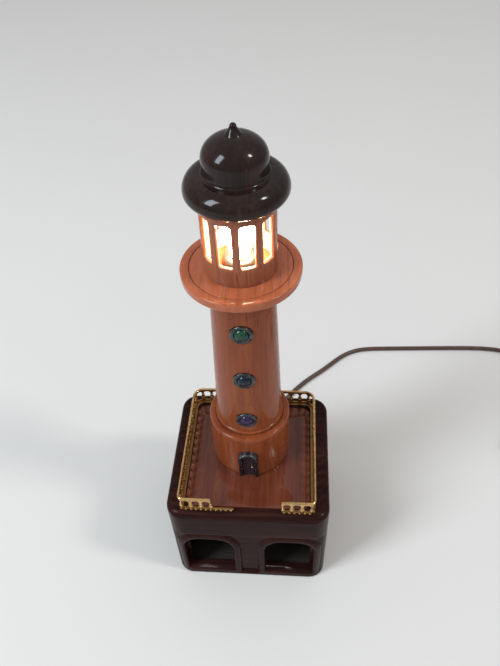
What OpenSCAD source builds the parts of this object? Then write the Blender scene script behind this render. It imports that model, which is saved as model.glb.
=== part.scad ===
// Wooden lighthouse table lamp: a turned tower with a lit lantern room, on a carved base.
// Z is up and X runs along the front. The front, with the two arches, faces -Y.
// The origin is on the table, under the middle of the base.

/* [Base] */
// Width of the base block across the front
base_w = 152; // [142:1:166]
// Depth of the base block from front to back
base_d = 142; // [138:1:156]
// Height of the base block above its feet
base_h = 122; // [112:1:136]
// Radius of the upright corners
base_corner_r = 16; // [12:1:22]
// Rounding of the top edge
base_edge_r = 6; // [4:0.5:8]
// Thickness of the side walls
base_wall = 11; // [10:0.5:13]
// Thickness of the top
base_top_t = 12; // [10:1:15]
// Thickness of the bottom plate
plate_t = 4; // [3:0.5:4.5]
// How far the bottom plate is let into the walls
plate_rebate = 6; // [5:0.5:6.5]
// Thickness of the felt feet
feet_t = 2; // [1.5:0.5:3]
// Radius of the felt feet
feet_r = 7; // [5:0.5:8]

/* [Arches] */
// Clear width of one arch
arch_w = 48; // [40:1:49]
// Clear height of one arch
arch_h = 67; // [50:1:68]
// Radius of the upper corners of an arch
arch_r = 18; // [10:1:19]
// Width of the pillar between the arches
pillar_w = 32; // [26:1:33]
// Height of the sill under the arches
sill_h = 8; // [7:0.5:10]
// Width of the moulded border round an arch
border_w = 8; // [5:0.5:8]
// How far the borders and the frieze stand out from the front
border_t = 2.5; // [1.5:0.5:3]

/* [Deck and rail] */
// Gap between the deck panel and the rail's flange at each side
deck_side_gap = 0.9; // [0.8:0.1:4]
// Gap between the deck panel and the rail's flange at the front
deck_front_gap = 0.9; // [0.8:0.1:4]
// Gap between the deck panel and the rail's flange at the back
deck_back_gap = 4.4; // [1:0.1:6]
// Thickness of the deck panel
deck_t = 7; // [6:0.5:8]
// How deep the deck panel is let into the base
deck_inlay = 6; // [4:0.5:7]
// Corner radius of the deck panel
deck_r = 8; // [4:1:10]
// Width over the rail
rail_w = 124; // [122:1:128]
// Depth over the rail
rail_d = 127; // [122:1:128]
// Height of the rail
rail_h = 20; // [16:1:22]
// Thickness of the brass strip
rail_t = 1; // [0.8:0.1:1.2]
// Radius of the rail's back corners
rail_back_r = 10; // [7:1:12]
// Radius of the rail's front corners
rail_front_r = 4; // [3.5:0.5:6]
// Length of each front stub of the rail, from its corner
rail_stub = 30; // [24:1:34]
// Spacing of the piercings
rail_pitch = 9.3; // [8.8:0.1:10.5]
// Width of one piercing
rail_gap = 6.4; // [5.6:0.1:7]
// Height of the solid band under the piercings
rail_foot = 3.6; // [3:0.1:4.5]
// Height of the solid band over the piercings
rail_head = 4; // [3.6:0.1:4.5]
// Radius of the round bead on the rail's top edge
rail_bead_r = 1.2; // [1:0.1:1.4]
// Width of the flange that lies on the base
rail_flange = 3.6; // [3.4:0.1:3.8]
// Radius of a rail pin
rail_pin_r = 0.6; // [0.5:0.1:0.8]

/* [Tower] */
// How far the tower stands behind the middle of the base
tower_back = 10; // [6:1:12]
// Radius of the collar
collar_r = 37; // [35:0.5:39]
// Height of the collar
collar_h = 57; // [52:1:64]
// Rounding of the collar's shoulder
collar_edge_r = 6; // [4:0.5:6]
// Radius of the shaft at its foot
shaft_foot_r = 30; // [29:0.5:30.5]
// Radius of the shaft under the gallery
shaft_top_r = 25.2; // [24.5:0.1:27]
// Height of the shaft between the collar and the gallery
shaft_h = 160; // [150:1:175]
// Radius of the shaft's tenons
tenon_r = 20; // [18:0.5:21]
// Length of the tenon in the collar
tenon_h = 15; // [10:1:20]
// Glue gap round a tenon
glue_gap = 0.1; // [0.05:0.05:0.2]

/* [Portholes and door] */
// Outer radius of a porthole ring
port_r = 9.2; // [8:0.1:10]
// Radius of the porthole's glass
port_glass_r = 6; // [5:0.1:6.5]
// How far a porthole ring stands out of the shaft
port_proud = 1.6; // [1:0.1:2.2]
// Height of the lowest porthole above the collar
port_low = 21; // [18:1:26]
// Spacing of the portholes
port_step = 52; // [46:1:56]
// Outer width of the door frame
door_w = 18; // [16:0.5:20]
// Outer height of the door frame
door_h = 40; // [34:1:44]
// Width of the door frame's jambs
door_jamb = 3.5; // [3:0.1:4.5]
// Thickness of the door frame
door_t = 5; // [4.5:0.1:6]
// How far the hood over the door stands out of the frame
hood_t = 3; // [2:0.1:4]

/* [Gallery and lantern] */
// Radius of the gallery
gallery_r = 45; // [42:0.5:48]
// Height of the gallery ring
gallery_h = 13; // [12:0.5:15]
// Height of the gallery's rim
gallery_rim_h = 8; // [7:0.5:9]
// Rounding of the rim's edges
gallery_edge_r = 2.5; // [1.5:0.1:3.4]
// Radius of the disc let into the gallery
disc_r = 38; // [35:0.5:39]
// Thickness of the disc
disc_t = 4; // [3:0.5:4.5]
// Visible groove round the disc
disc_groove = 0.4; // [0.2:0.1:0.8]
// Outer radius of the lantern tube
lantern_r = 27.2; // [26.5:0.1:29]
// Wall of the lantern tube
lantern_wall = 3.2; // [2.6:0.1:3.6]
// Height of the lantern tube
lantern_h = 58; // [57:0.5:62]
// Number of lantern windows
window_n = 10; // [8:1:12]
// Angle that one post takes
post_angle = 10.5; // [9:0.5:14]
// Height of the sill under the windows
window_sill = 16; // [14:0.5:20]
// Height of the windows
window_h = 35.5; // [30:0.5:35.5]
// Radius of the windows' upper corners
window_r = 2.5; // [1.5:0.1:5]

/* [Dome] */
// Radius of the dome's lower lobe
lobe_r = 36; // [33:0.5:39]
// Height of the lower lobe's round top
lobe_up = 16; // [14:0.5:18]
// Height of the lower lobe's round underside
lobe_down = 8.5; // [7:0.5:10]
// Radius of the dome's upper lobe
crown_r = 21.6; // [20:0.1:23]
// Height of the upper lobe's round top
crown_up = 12.7; // [11:0.1:14]
// Depth of the upper lobe's round underside, if it were whole
crown_down = 20; // [18:0.5:26]
// Height of the upper lobe's middle above the lower one's
crown_rise = 23.5; // [20:0.5:25]
// Depth of the spigot that locates the dome in the lantern
spigot_h = 4; // [3:0.5:4]
// Radius of the hollow over the bulb
hollow_r = 19; // [15:0.5:20]
// Height of the hollow above the bottom of the spigot
hollow_h = 14; // [8:0.5:18]
// Clearance round the spigot
spigot_gap = 0.3; // [0.3:0.1:0.5]
// Radius of the finial's foot
finial_r = 4; // [3.5:0.1:4.5]
// Height of the finial
finial_h = 6.8; // [6:0.1:9]

/* [Lamp parts] */
// Outer radius of the threaded tube
rod_r = 5; // [4.9:0.05:5]
// Radius of the bore in the threaded tube
rod_bore_r = 3.5; // [3.2:0.1:3.8]
// Clearance round the threaded tube
rod_gap = 0.3; // [0.2:0.1:0.6]
// Radius of the lampholder
holder_r = 13; // [12:0.5:14]
// Height of the lampholder
holder_h = 42; // [40:1:43]
// Clearance round the lampholder
holder_gap = 0.6; // [0.4:0.1:1]
// Radius of the bulb's glass
bulb_r = 13; // [11:0.5:14]
// Height of the bulb's glass above its cap
bulb_h = 33.5; // [30:0.5:33.5]
// Radius of the bulb's screw cap
cap_r = 6.9; // [6.8:0.05:6.95]
// Running clearance round the screw cap
cap_gap = 0.3; // [0.3:0.05:0.5]

/* [Cord] */
// Thickness of the cord
cord_d = 5.5; // [5:0.1:5.6]
// Height at which the cord leaves the base
exit_z = 11; // [10.9:0.1:12]
// Length of the strain relief outside the base
relief_l = 20; // [20:0.5:21]
// Number of turns in the coil
coil_turns = 6; // [5:1:7]
// Radius of the coil's innermost turn
coil_r_in = 22; // [22:0.5:24]
// Clearance between neighbouring turns
coil_gap = 0.5; // [0.45:0.05:0.8]
// Length of the switch on the cord
switch_l = 46; // [46:0.5:48]
// Width of the switch
switch_w = 22; // [20:0.5:24]
// Height of the switch's housing
switch_h = 18; // [17:0.5:19]
// Angle to which the rocker tips each way
rocker_tip = 12; // [8:1:13]

/* [Hidden] */
$fn = 64;
eps = 0.01;

// Heights of the stack, from the table up
z_plate = feet_t + plate_t;
z_base = feet_t + base_h;
z_ceiling = z_base - base_top_t;
z_deck = z_base - deck_inlay + deck_t;
z_collar = z_deck + collar_h;
z_gallery = z_collar + shaft_h;
z_floor = z_gallery + gallery_h;
z_lantern = z_floor + lantern_h;
z_lobe = z_lantern + lobe_down;
z_crown = z_lobe + crown_rise;
z_finial = z_crown + crown_up * sqrt(1 - pow(finial_r / crown_r, 2));

// Base
in_w = base_w - 2 * base_wall;
in_d = base_d - 2 * base_wall;
in_r = base_corner_r - base_wall + 3;
arch_x = (pillar_w + arch_w) / 2;
arch_z = feet_t + sill_h;
frieze_z = arch_z + arch_h + border_w;
screw_r = 1.5;
screw_head_r = 2.8;
screw_head_h = 1.6;
screw_l = 14;
screw_inset = 25;
screw_y = in_d / 2 - screw_inset;
feet_inset = 12;

// Finial's peg
finial_peg_r = 1.6;
finial_peg_h = 6;
peg_gap = 0.05;

// Rail, and the deck panel inside it
rail_cy = -1.5;
deck_w = rail_w - 2 * (rail_flange + deck_side_gap);
deck_d = rail_d - 2 * rail_flange - deck_front_gap - deck_back_gap;
deck_y = rail_cy + (deck_front_gap - deck_back_gap) / 2;
deck_clear = 0.4;
rail_open_h = rail_h - rail_foot - rail_head;
rail_joint_y = rail_cy + 0.31 * rail_d;
rail_tail = 20;
rail_gap_y = 0.4;
pin_l = 7;
pin_head_r = 1.2;
pin_head_h = 0.5;

// Tower
socket_z = z_collar - tenon_h - glue_gap;
holder_z = z_floor + 9 - holder_h;
washer_t = 1.5;
holder_bore_r = holder_r + holder_gap;
rod_hole_r = rod_r + rod_gap;
port_ledge = 2.2;
lens_edge = 1;
lens_edge_t = 1.8;
lens_gap = 0.1;

// Lampholder and bulb
rod_end_z = holder_z + 8;
sleeve_wall = 1.2;
sleeve_in_r = cap_r + cap_gap;
sleeve_rise = 23.5;
sleeve_z = holder_z + sleeve_rise;
contact_rise = 21;
contact_z = holder_z + contact_rise;
contact_h = 2.5;
bulb_tip_z = contact_z + contact_h;
bulb_tip_h = 3;
cap_h = 16;
cap_z = bulb_tip_z + bulb_tip_h;
glass_z = cap_z + cap_h;
nut_t = 4;
nut_flat = 16;
washer_r = 11;

// Cord: the first run goes from the back of the base, through the strain relief, to the switch
cord_r = cord_d / 2;
switch_x = 350.5;
switch_y = 223.5;
switch_z = switch_h / 2;
route_to_switch = [
    [0, base_d / 2, exit_z], [0, 82, exit_z], [0, 91, exit_z], [0, 97, exit_z],
    [1.2, 106, 10], [5, 117, 8],
    [11.5, 129, 5.6], [19.5, 141.5, 3.8], [28, 155, 3], [37, 167.5, 2.8], [46, 179, 2.8],
    [54, 188, 2.8], [62, 195.8, 2.8], [70, 203, 2.8], [79, 211, 2.8], [88, 219.5, 2.8],
    [97.5, 229, 2.8], [107.5, 238, 2.8], [119, 245.5, 2.8], [131, 250.2, 2.8],
    [144, 252.6, 2.8], [160, 253.8, 2.8], [182, 254.8, 2.8], [206, 255.8, 2.8],
    [230, 256.8, 2.8], [255, 257.8, 2.8], [280, 258.5, 2.8], [302, 258.2, 2.8],
    [321, 255.8, 3], [335, 250.5, 4.2], [344.5, 242.5, 6.4], [349.3, 235, 8.3],
    [switch_x, switch_y + cord_d, switch_z], [switch_x, switch_y, switch_z]
];
// The second run goes from the switch to the coil, which it meets on its right
coil_x = 340;
coil_y = 95;
tie_t = 0.8;
tie_gap = 0.5;
coil_z = cord_r + tie_t + tie_gap;
coil_pitch = cord_d + coil_gap;
coil_r_out = coil_r_in + coil_pitch * coil_turns / 2;
coil_top_z = coil_z + coil_pitch;
coil_steps = 24;
switch_far_y = switch_y - switch_l;
route_to_coil = [
    [switch_x, switch_far_y, switch_z], [switch_x, switch_far_y - cord_d, switch_z],
    [351.5, 163, 7.8], [354.5, 154, 5.6], [359, 146, 4], [365.2, 139, 3], [371.5, 132, 2.9],
    [376.2, 124, 3.1], [379.2, 115.2, 3.7],
    [coil_x + coil_r_out, coil_y + 2 * cord_d, coil_z],
    [coil_x + coil_r_out, coil_y + cord_d, coil_z]
];
// The last run goes from the top of the coil to the plug
plug_x = 371;
plug_y = 12;
plug_z = 6.8;
route_to_plug = [
    [coil_x + coil_r_out, coil_y - cord_d, coil_top_z],
    [coil_x + coil_r_out, coil_y - 2 * cord_d, coil_top_z],
    [380, 75, 8.8], [379.4, 66, 6.4], [378.2, 57, 4.2], [376.5, 48, 3.2], [374.6, 39, 3.4],
    [372.7, 30.5, 4.8], [371.4, 23.5, 6.3],
    [plug_x, plug_y + cord_d, plug_z], [plug_x, plug_y, plug_z]
];

// Plain shapes that several pieces use

module rounded(w, d, r) {
    square([w - 2 * r, d], center = true);
    square([w, d - 2 * r], center = true);
    for (x = [-1, 1], y = [-1, 1]) translate([x * (w / 2 - r), y * (d / 2 - r)]) circle(r);
}

module arch(w, h, r) {
    translate([-w / 2, 0]) square([w, h - r]);
    translate([-w / 2 + r, 0]) square([w - 2 * r, h]);
    for (x = [-1, 1]) translate([x * (w / 2 - r), h - r]) circle(r);
}

// Stands a drawing made in X and Y upright, facing the front, with its back at y
module facing(y, t) {
    translate([0, y, 0]) rotate([90, 0, 0]) linear_extrude(t) children();
}

module at_tower(z = 0) {
    translate([0, tower_back, z]) children();
}

// A tube along a list of points, with its ends square to the first and last run
function unit(v) = v / norm(v);
function along(p, i) = unit(p[min(i + 1, len(p) - 1)] - p[max(i - 1, 0)]);
function ring_at(c, t, r, sides) =
    let (u = unit(cross([0, 0, 1], t)), w = cross(t, u))
    [for (k = [0:sides - 1]) c + r * (cos(360 * k / sides) * u + sin(360 * k / sides) * w)];

module tube(p, r, sides) {
    last = len(p) - 1;
    points = [for (i = [0:last]) each ring_at(p[i], along(p, i), r, sides)];
    sides_up = [for (i = [0:last - 1], k = [0:sides - 1])
        let (a = i * sides + k, b = i * sides + (k + 1) % sides) each [
            [a, a + sides, b + sides],
            [a, b + sides, b]
        ]];
    start = [for (k = [1:sides - 2]) [0, k, k + 1]];
    end = [for (k = [1:sides - 2]) [last * sides, last * sides + k + 1, last * sides + k]];
    polyhedron(points, concat(sides_up, start, end));
}

// Base

// The block seen from one side, w wide, with its top edges rounded
module edge_profile(w) {
    translate([-w / 2, 0]) square([w, base_h - base_edge_r]);
    translate([-w / 2 + base_edge_r, 0]) square([w - 2 * base_edge_r, base_h]);
    for (x = [-1, 1]) translate([x * (w / 2 - base_edge_r), base_h - base_edge_r])
        circle(base_edge_r);
}

module base_form() {
    x = base_w / 2 - base_corner_r;
    y = base_d / 2 - base_corner_r;
    translate([0, 0, feet_t]) {
        translate([0, y, 0]) rotate([90, 0, 0]) linear_extrude(2 * y) edge_profile(base_w);
        translate([-x, 0, 0]) rotate([90, 0, 90]) linear_extrude(2 * x) edge_profile(base_d);
        for (i = [-1, 1], j = [-1, 1]) translate([i * x, j * y, 0]) rotate_extrude() {
            square([base_corner_r, base_h - base_edge_r]);
            square([base_corner_r - base_edge_r, base_h]);
            translate([base_corner_r - base_edge_r, base_h - base_edge_r]) circle(base_edge_r);
        }
    }
}

module both_arches(grow, h_grow) {
    for (x = [-1, 1])
        translate([x * arch_x, arch_z - h_grow])
            arch(arch_w + 2 * grow, arch_h + grow + h_grow, arch_r + grow);
}

module base_block() {
    color([0.12, 0.06, 0.05])
    difference() {
        base_form();
        translate([0, 0, feet_t - eps]) linear_extrude(base_h - base_top_t + eps)
            rounded(in_w, in_d, in_r);
        translate([0, 0, feet_t - eps]) linear_extrude(plate_t + eps)
            rounded(in_w + 2 * plate_rebate, in_d + 2 * plate_rebate, in_r + plate_rebate);
        facing(-in_d / 2 + eps, base_wall + 1) both_arches(0, 0);
        facing(-base_d / 2 + border_t, border_t + 1) difference() {
            translate([-base_w / 2 + base_corner_r - 2, feet_t + sill_h / 2])
                square([base_w - 2 * base_corner_r + 4, frieze_z - feet_t - sill_h / 2]);
            both_arches(border_w, sill_h / 2 + eps);
        }
        translate([0, deck_y, z_base - deck_inlay]) linear_extrude(deck_inlay + 1)
            rounded(deck_w + 2 * deck_clear, deck_d + 2 * deck_clear, deck_r + deck_clear);
        at_tower(z_ceiling - 1) cylinder(h = base_top_t + 2, r = rod_hole_r);
        translate([0, in_d / 2 - 1, exit_z]) rotate([-90, 0, 0])
            cylinder(h = base_wall + 2, r = relief_neck_r + 0.05);
        for (x = [-1, 1], y = [-1, 1])
            translate([x * (in_w / 2 + plate_rebate / 2), y * screw_y, z_plate - eps])
                cylinder(h = screw_l - plate_t, r = screw_r, $fn = 24);
        pin_holes();
    }
}

module bottom_plate() {
    color([0.35, 0.24, 0.16])
    difference() {
        translate([0, 0, feet_t]) linear_extrude(plate_t)
            rounded(in_w + 2 * plate_rebate - 0.4, in_d + 2 * plate_rebate - 0.4,
                in_r + plate_rebate - 0.2);
        for (x = [-1, 1], y = [-1, 1])
            translate([x * (in_w / 2 + plate_rebate / 2), y * screw_y, feet_t]) {
                translate([0, 0, -eps]) cylinder(h = plate_t + 1, r = screw_r + 0.1, $fn = 24);
                translate([0, 0, -eps])
                    cylinder(h = screw_head_h + 0.1, r1 = screw_head_r + 0.1, r2 = screw_r + 0.1,
                        $fn = 24);
            }
    }
}

module plate_screws() {
    color([0.7, 0.68, 0.6])
    for (x = [-1, 1], y = [-1, 1])
        translate([x * (in_w / 2 + plate_rebate / 2), y * screw_y, feet_t])
            difference() {
                union() {
                    cylinder(h = screw_head_h, r1 = screw_head_r, r2 = screw_r, $fn = 24);
                    cylinder(h = screw_l - 1.5, r = screw_r, $fn = 24);
                }
                translate([0, 0, 0.4]) cube([3.6, 0.8, 0.8 + 2 * eps], center = true);
                translate([0, 0, 0.4]) cube([0.8, 3.6, 0.8 + 2 * eps], center = true);
            }
}

module felt_feet() {
    color([0.2, 0.2, 0.2])
    for (x = [-1, 1], y = [-1, 1])
        translate([x * (base_w / 2 - feet_inset), y * (base_d / 2 - feet_inset), 0])
            cylinder(h = feet_t, r = feet_r);
}

// Deck and rail

module deck_panel() {
    color([0.55, 0.24, 0.14])
    difference() {
        translate([0, deck_y, z_base - deck_inlay]) linear_extrude(deck_t)
            rounded(deck_w, deck_d, deck_r);
        at_tower(z_base - deck_inlay - 1) cylinder(h = deck_t + 2, r = rod_hole_r);
    }
}

// One straight run of pierced strip along X, from 0 to l, with its outer face at y = 0. It lies
// on the side of positive y, or of negative y where way is -1
module rail_run(l, way = 1) {
    n = floor((l - 1) / rail_pitch);
    x0 = (l - (n - 1) * rail_pitch) / 2;
    translate([0, way > 0 ? rail_t : 0, 0]) rotate([90, 0, 0]) linear_extrude(rail_t)
        difference() {
            square([l, rail_h - rail_bead_r]);
            for (i = [0:n - 1])
                translate([x0 + i * rail_pitch, rail_foot])
                    arch(rail_gap, rail_open_h, rail_gap / 2 - eps);
        }
    translate([0, way > 0 ? 0 : -rail_flange, 0]) cube([l, rail_flange, rail_t]);
    translate([0, way * rail_t / 2, rail_h - rail_bead_r]) rotate([0, 90, 0])
        cylinder(h = l, r = rail_bead_r, $fn = 24);
}

// A quarter bend about the origin, whose outer face has radius r
module rail_bend(r) {
    rotate_extrude(angle = 90, $fn = 48) {
        translate([r - rail_t, 0]) square([rail_t, rail_h - rail_bead_r]);
        translate([r - min(rail_flange, r - 0.3), 0]) square([min(rail_flange, r - 0.3), rail_t]);
        translate([r - rail_t / 2, rail_h - rail_bead_r]) circle(rail_bead_r, $fn = 24);
    }
}

module rail_left() {
    side = rail_joint_y - (rail_cy - rail_d / 2) - rail_front_r;
    color([0.85, 0.62, 0.25])
    difference() {
        translate([-rail_w / 2, rail_cy - rail_d / 2, z_base]) {
            translate([rail_front_r, 0, 0]) rail_run(rail_stub - rail_front_r);
            translate([rail_stub - eps, 0, 0]) cube([rail_tail, rail_flange, rail_t]);
            translate([rail_stub - eps, 0, 0]) cube([rail_tail, rail_t, rail_foot]);
            translate([rail_front_r, rail_front_r, 0]) rotate([0, 0, 180]) rail_bend(rail_front_r);
            translate([0, rail_front_r, 0]) rotate([0, 0, 90]) rail_run(side, -1);
        }
        pin_holes();
    }
}

module rail_right() {
    tail = rail_cy + rail_d / 2 - rail_back_r - rail_joint_y - rail_gap_y;
    side = rail_d - rail_back_r - rail_front_r;
    color([0.85, 0.62, 0.25])
    difference() {
        translate([0, rail_cy, z_base]) {
            translate([-rail_w / 2, rail_d / 2 - rail_back_r, 0])
                rotate([0, 0, -90]) rail_run(tail);
            translate([-rail_w / 2 + rail_back_r, rail_d / 2 - rail_back_r, 0])
                rotate([0, 0, 90]) rail_bend(rail_back_r);
            translate([rail_w / 2 - rail_back_r, rail_d / 2, 0])
                rotate([0, 0, 180]) rail_run(rail_w - 2 * rail_back_r);
            translate([rail_w / 2 - rail_back_r, rail_d / 2 - rail_back_r, 0])
                rail_bend(rail_back_r);
            translate([rail_w / 2, -rail_d / 2 + rail_front_r, 0])
                rotate([0, 0, 90]) rail_run(side);
            translate([rail_w / 2 - rail_front_r, -rail_d / 2 + rail_front_r, 0])
                rotate([0, 0, -90]) rail_bend(rail_front_r);
            translate([rail_w / 2 - rail_stub, -rail_d / 2, 0])
                rail_run(rail_stub - rail_front_r);
        }
        pin_holes();
    }
}

// Places on the base's top where a pin holds the rail's flange
module pin_places() {
    inset = rail_flange / 2 + 0.5;
    y_front = rail_cy - rail_d / 2 + inset;
    y_back = rail_cy + rail_d / 2 - inset;
    for (x = [-1, 1]) {
        translate([x * (rail_w / 2 - rail_stub / 2), y_front, z_base]) children();
        translate([x * rail_w / 4, y_back, z_base]) children();
        for (share = [-0.26, 0.17])
            translate([x * (rail_w / 2 - inset), rail_cy + share * rail_d, z_base]) children();
    }
}

module pin_holes() {
    pin_places() translate([0, 0, -pin_l]) cylinder(h = pin_l + rail_t + 1, r = rail_pin_r, $fn = 16);
}

module rail_pins() {
    color([0.8, 0.6, 0.28])
    pin_places() {
        translate([0, 0, -pin_l + 0.5]) cylinder(h = pin_l - 0.5, r = rail_pin_r - 0.05, $fn = 16);
        cylinder(h = rail_t + eps, r = rail_pin_r - 0.05, $fn = 16);
        translate([0, 0, rail_t]) cylinder(h = pin_head_h, r = pin_head_r, $fn = 24);
    }
}

// Tower

function shaft_r_at(z) = shaft_foot_r + (shaft_top_r - shaft_foot_r) * (z - z_collar) / shaft_h;

module collar() {
    color([0.52, 0.22, 0.13])
    difference() {
        at_tower(z_deck) rotate_extrude($fn = 96) {
            square([collar_r, collar_h - collar_edge_r]);
            square([collar_r - collar_edge_r, collar_h]);
            translate([collar_r - collar_edge_r, collar_h - collar_edge_r]) circle(collar_edge_r);
        }
        at_tower(socket_z) cylinder(h = tenon_h + 1, r = tenon_r + glue_gap);
        at_tower(z_deck - 1) cylinder(h = collar_h, r = rod_hole_r);
        facing(door_back, 20) translate([0, z_deck - 1])
            arch(door_w + 0.2, door_h + 1.1, door_w / 2 + 0.1 - eps);
    }
}

// The flat at the bottom of the door's niche, and the door's own places
door_back = tower_back - collar_r + 3;

module door_frame() {
    color([0.25, 0.27, 0.27])
    translate([0, 0, z_deck]) {
        facing(door_back, door_t) difference() {
            arch(door_w, door_h, door_w / 2 - eps);
            translate([0, -1]) arch(door_w - 2 * door_jamb, door_h - door_jamb + 1,
                door_w / 2 - door_jamb - eps);
        }
        facing(door_back - door_t + eps, hood_t) intersection() {
            difference() {
                arch(door_w, door_h, door_w / 2 - eps);
                translate([0, -1]) arch(door_w - 2 * door_jamb, door_h - door_jamb + 1,
                    door_w / 2 - door_jamb - eps);
            }
            translate([-door_w / 2, door_h - door_w / 2]) square([door_w, door_w]);
        }
    }
}

module door_leaf() {
    color([0.06, 0.06, 0.1])
    translate([0, 0, z_deck])
        facing(door_back, door_t / 2)
            arch(door_w - 2 * door_jamb - 0.2, door_h - door_jamb - 0.1,
                door_w / 2 - door_jamb - 0.1 - eps);
}

module tower_shaft() {
    bead_r = 2;
    color([0.56, 0.25, 0.15])
    difference() {
        at_tower() rotate_extrude($fn = 96) {
            polygon([
                [0, socket_z + glue_gap], [tenon_r, socket_z + glue_gap], [tenon_r, z_collar],
                [shaft_foot_r, z_collar], [shaft_top_r, z_gallery], [tenon_r, z_gallery],
                [tenon_r, z_floor - disc_t], [0, z_floor - disc_t]
            ]);
            translate([shaft_foot_r - bead_r + 1, z_collar + bead_r]) circle(bead_r, $fn = 32);
        }
        at_tower(socket_z - 1) cylinder(h = holder_z - socket_z, r = rod_hole_r);
        at_tower(holder_z - washer_t) cylinder(h = z_floor, r = holder_bore_r);
        for (i = [0:2])
            at_port(i) translate([0, 0, -port_ledge]) cylinder(h = 20, r = port_r + 0.05);
    }
}

function port_z(i) = z_collar + port_low + i * port_step;

// Turns what is drawn upright to face the front, with its origin on the shaft's face
module at_port(i) {
    at_tower(port_z(i)) translate([0, -shaft_r_at(port_z(i)), 0]) rotate([90, 0, 0]) children();
}

module porthole_ring(i) {
    t = port_ledge + port_proud;
    color([0.24, 0.25, 0.26])
    at_port(i) translate([0, 0, -port_ledge]) rotate_extrude($fn = 48)
        difference() {
            union() {
                translate([port_glass_r, 0]) square([port_r - port_glass_r, t - 1]);
                translate([port_glass_r + 1, 0]) square([port_r - port_glass_r - 2, t]);
                for (x = [port_glass_r + 1, port_r - 1])
                    translate([x, t - 1]) circle(1, $fn = 24);
            }
            translate([0, -eps]) square([port_glass_r + lens_edge, lens_edge_t + eps]);
        }
}

module porthole_lens(i) {
    h = 1.4;
    r = port_glass_r - lens_gap;
    dome_r = (r * r + h * h) / (2 * h);
    color([0.1, 0.16, 0.22])
    at_port(i) translate([0, 0, -port_ledge]) rotate_extrude($fn = 48) {
        square([r + lens_edge, lens_edge_t]);
        translate([0, lens_edge_t - eps]) intersection() {
            translate([0, h - dome_r]) circle(dome_r, $fn = 96);
            square([r, h + 1]);
        }
    }
}

// Gallery and lantern

module gallery_ring() {
    neck = 3.5;
    rim_z = gallery_h - gallery_rim_h;
    color([0.62, 0.3, 0.17])
    at_tower(z_gallery) rotate_extrude($fn = 96)
        difference() {
            union() {
                translate([0, rim_z]) square([gallery_r - gallery_edge_r, gallery_rim_h]);
                translate([0, rim_z + gallery_edge_r])
                    square([gallery_r, gallery_rim_h - 2 * gallery_edge_r]);
                for (z = [rim_z + gallery_edge_r, gallery_h - gallery_edge_r])
                    translate([gallery_r - gallery_edge_r, z]) circle(gallery_edge_r);
                polygon([
                    [0, 0], [shaft_top_r + 1, 0], [shaft_top_r + neck, 1.6],
                    [shaft_top_r + neck + 1.5, 3.2], [gallery_r - 6, rim_z + eps],
                    [0, rim_z + eps]
                ]);
            }
            translate([0, gallery_h - disc_t]) square([disc_r + disc_groove, disc_t + 1]);
            translate([0, -1]) square([tenon_r + glue_gap, gallery_h]);
        }
}

module gallery_disc() {
    color([0.6, 0.3, 0.17])
    at_tower(z_floor - disc_t) rotate_extrude($fn = 96)
        difference() {
            square([disc_r, disc_t]);
            translate([0, -1]) square([holder_bore_r, disc_t + 2]);
        }
}

module lantern_tube() {
    in_r = lantern_r - lantern_wall;
    chord = 2 * in_r * sin((360 / window_n - post_angle) / 2);
    opening = round(100 * chord) / 100;
    color([0.62, 0.42, 0.3])
    at_tower(z_floor) difference() {
        rotate([0, 0, -90]) rotate_extrude($fn = 96)
            translate([in_r, 0]) square([lantern_wall, lantern_h]);
        for (i = [0:window_n - 1])
            rotate([0, 0, 360 / window_n * (i + 0.5)]) translate([0, 0, window_sill])
                facing(2 - in_r, lantern_wall + 4) arch(opening, window_h, window_r);
    }
}

// Points on an arc, from angle a0 to a1, with its own radius each way
function arc_points(x, z, rx, rz, a0, a1, n) =
    [for (i = [0:n]) let (a = a0 + (a1 - a0) * i / n) [x + rx * cos(a), z + rz * sin(a)]];

module dome() {
    spigot_r = lantern_r - lantern_wall - spigot_gap;
    peg_hole_r = finial_peg_r + peg_gap;
    waist_angle = asin((z_lobe + lobe_up - z_crown) / crown_down);
    color([0.09, 0.05, 0.045])
    at_tower() rotate_extrude($fn = 96) polygon([
        [0, z_lantern - spigot_h + hollow_h],
        [hollow_r, z_lantern - spigot_h + hollow_h],
        [hollow_r, z_lantern - spigot_h],
        [spigot_r, z_lantern - spigot_h],
        [spigot_r, z_lantern],
        each arc_points(lobe_r - lobe_down, z_lobe, lobe_down, lobe_down, -90, 0, 8),
        each arc_points(lobe_r - lobe_up, z_lobe, lobe_up, lobe_up, 8, 90, 11),
        each arc_points(0, z_crown, crown_r, crown_down, waist_angle, 0, 4),
        each arc_points(0, z_crown, crown_r, crown_up, 8, acos(finial_r / crown_r), 12),
        [peg_hole_r, z_finial],
        [peg_hole_r, z_finial - finial_peg_h - peg_gap],
        [0, z_finial - finial_peg_h - peg_gap]
    ]);
}

module finial() {
    tip_r = 1.2;
    waist_r = (finial_h - tip_r) * 0.75;
    color([0.09, 0.05, 0.045])
    at_tower(z_finial) rotate_extrude($fn = 48) {
        translate([0, -finial_peg_h]) square([finial_peg_r, finial_peg_h]);
        difference() {
            square([finial_r, finial_h - tip_r]);
            translate([waist_r + tip_r, finial_h - tip_r]) circle(waist_r);
        }
        translate([0, finial_h - tip_r]) intersection() {
            circle(tip_r, $fn = 32);
            square(tip_r);
        }
    }
}

// Lamp parts

module threaded_tube() {
    color([0.75, 0.72, 0.6])
    at_tower(z_ceiling - 10) difference() {
        cylinder(h = rod_end_z - z_ceiling + 10, r = rod_r);
        translate([0, 0, -1]) cylinder(h = rod_end_z, r = rod_bore_r);
    }
}

module tube_nut() {
    color([0.75, 0.7, 0.5])
    at_tower(z_ceiling - washer_t - nut_t) difference() {
        cylinder(h = nut_t, r = nut_flat / 2 / cos(30), $fn = 6);
        translate([0, 0, -1]) cylinder(h = nut_t + 2, r = rod_r + 0.05);
    }
}

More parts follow.
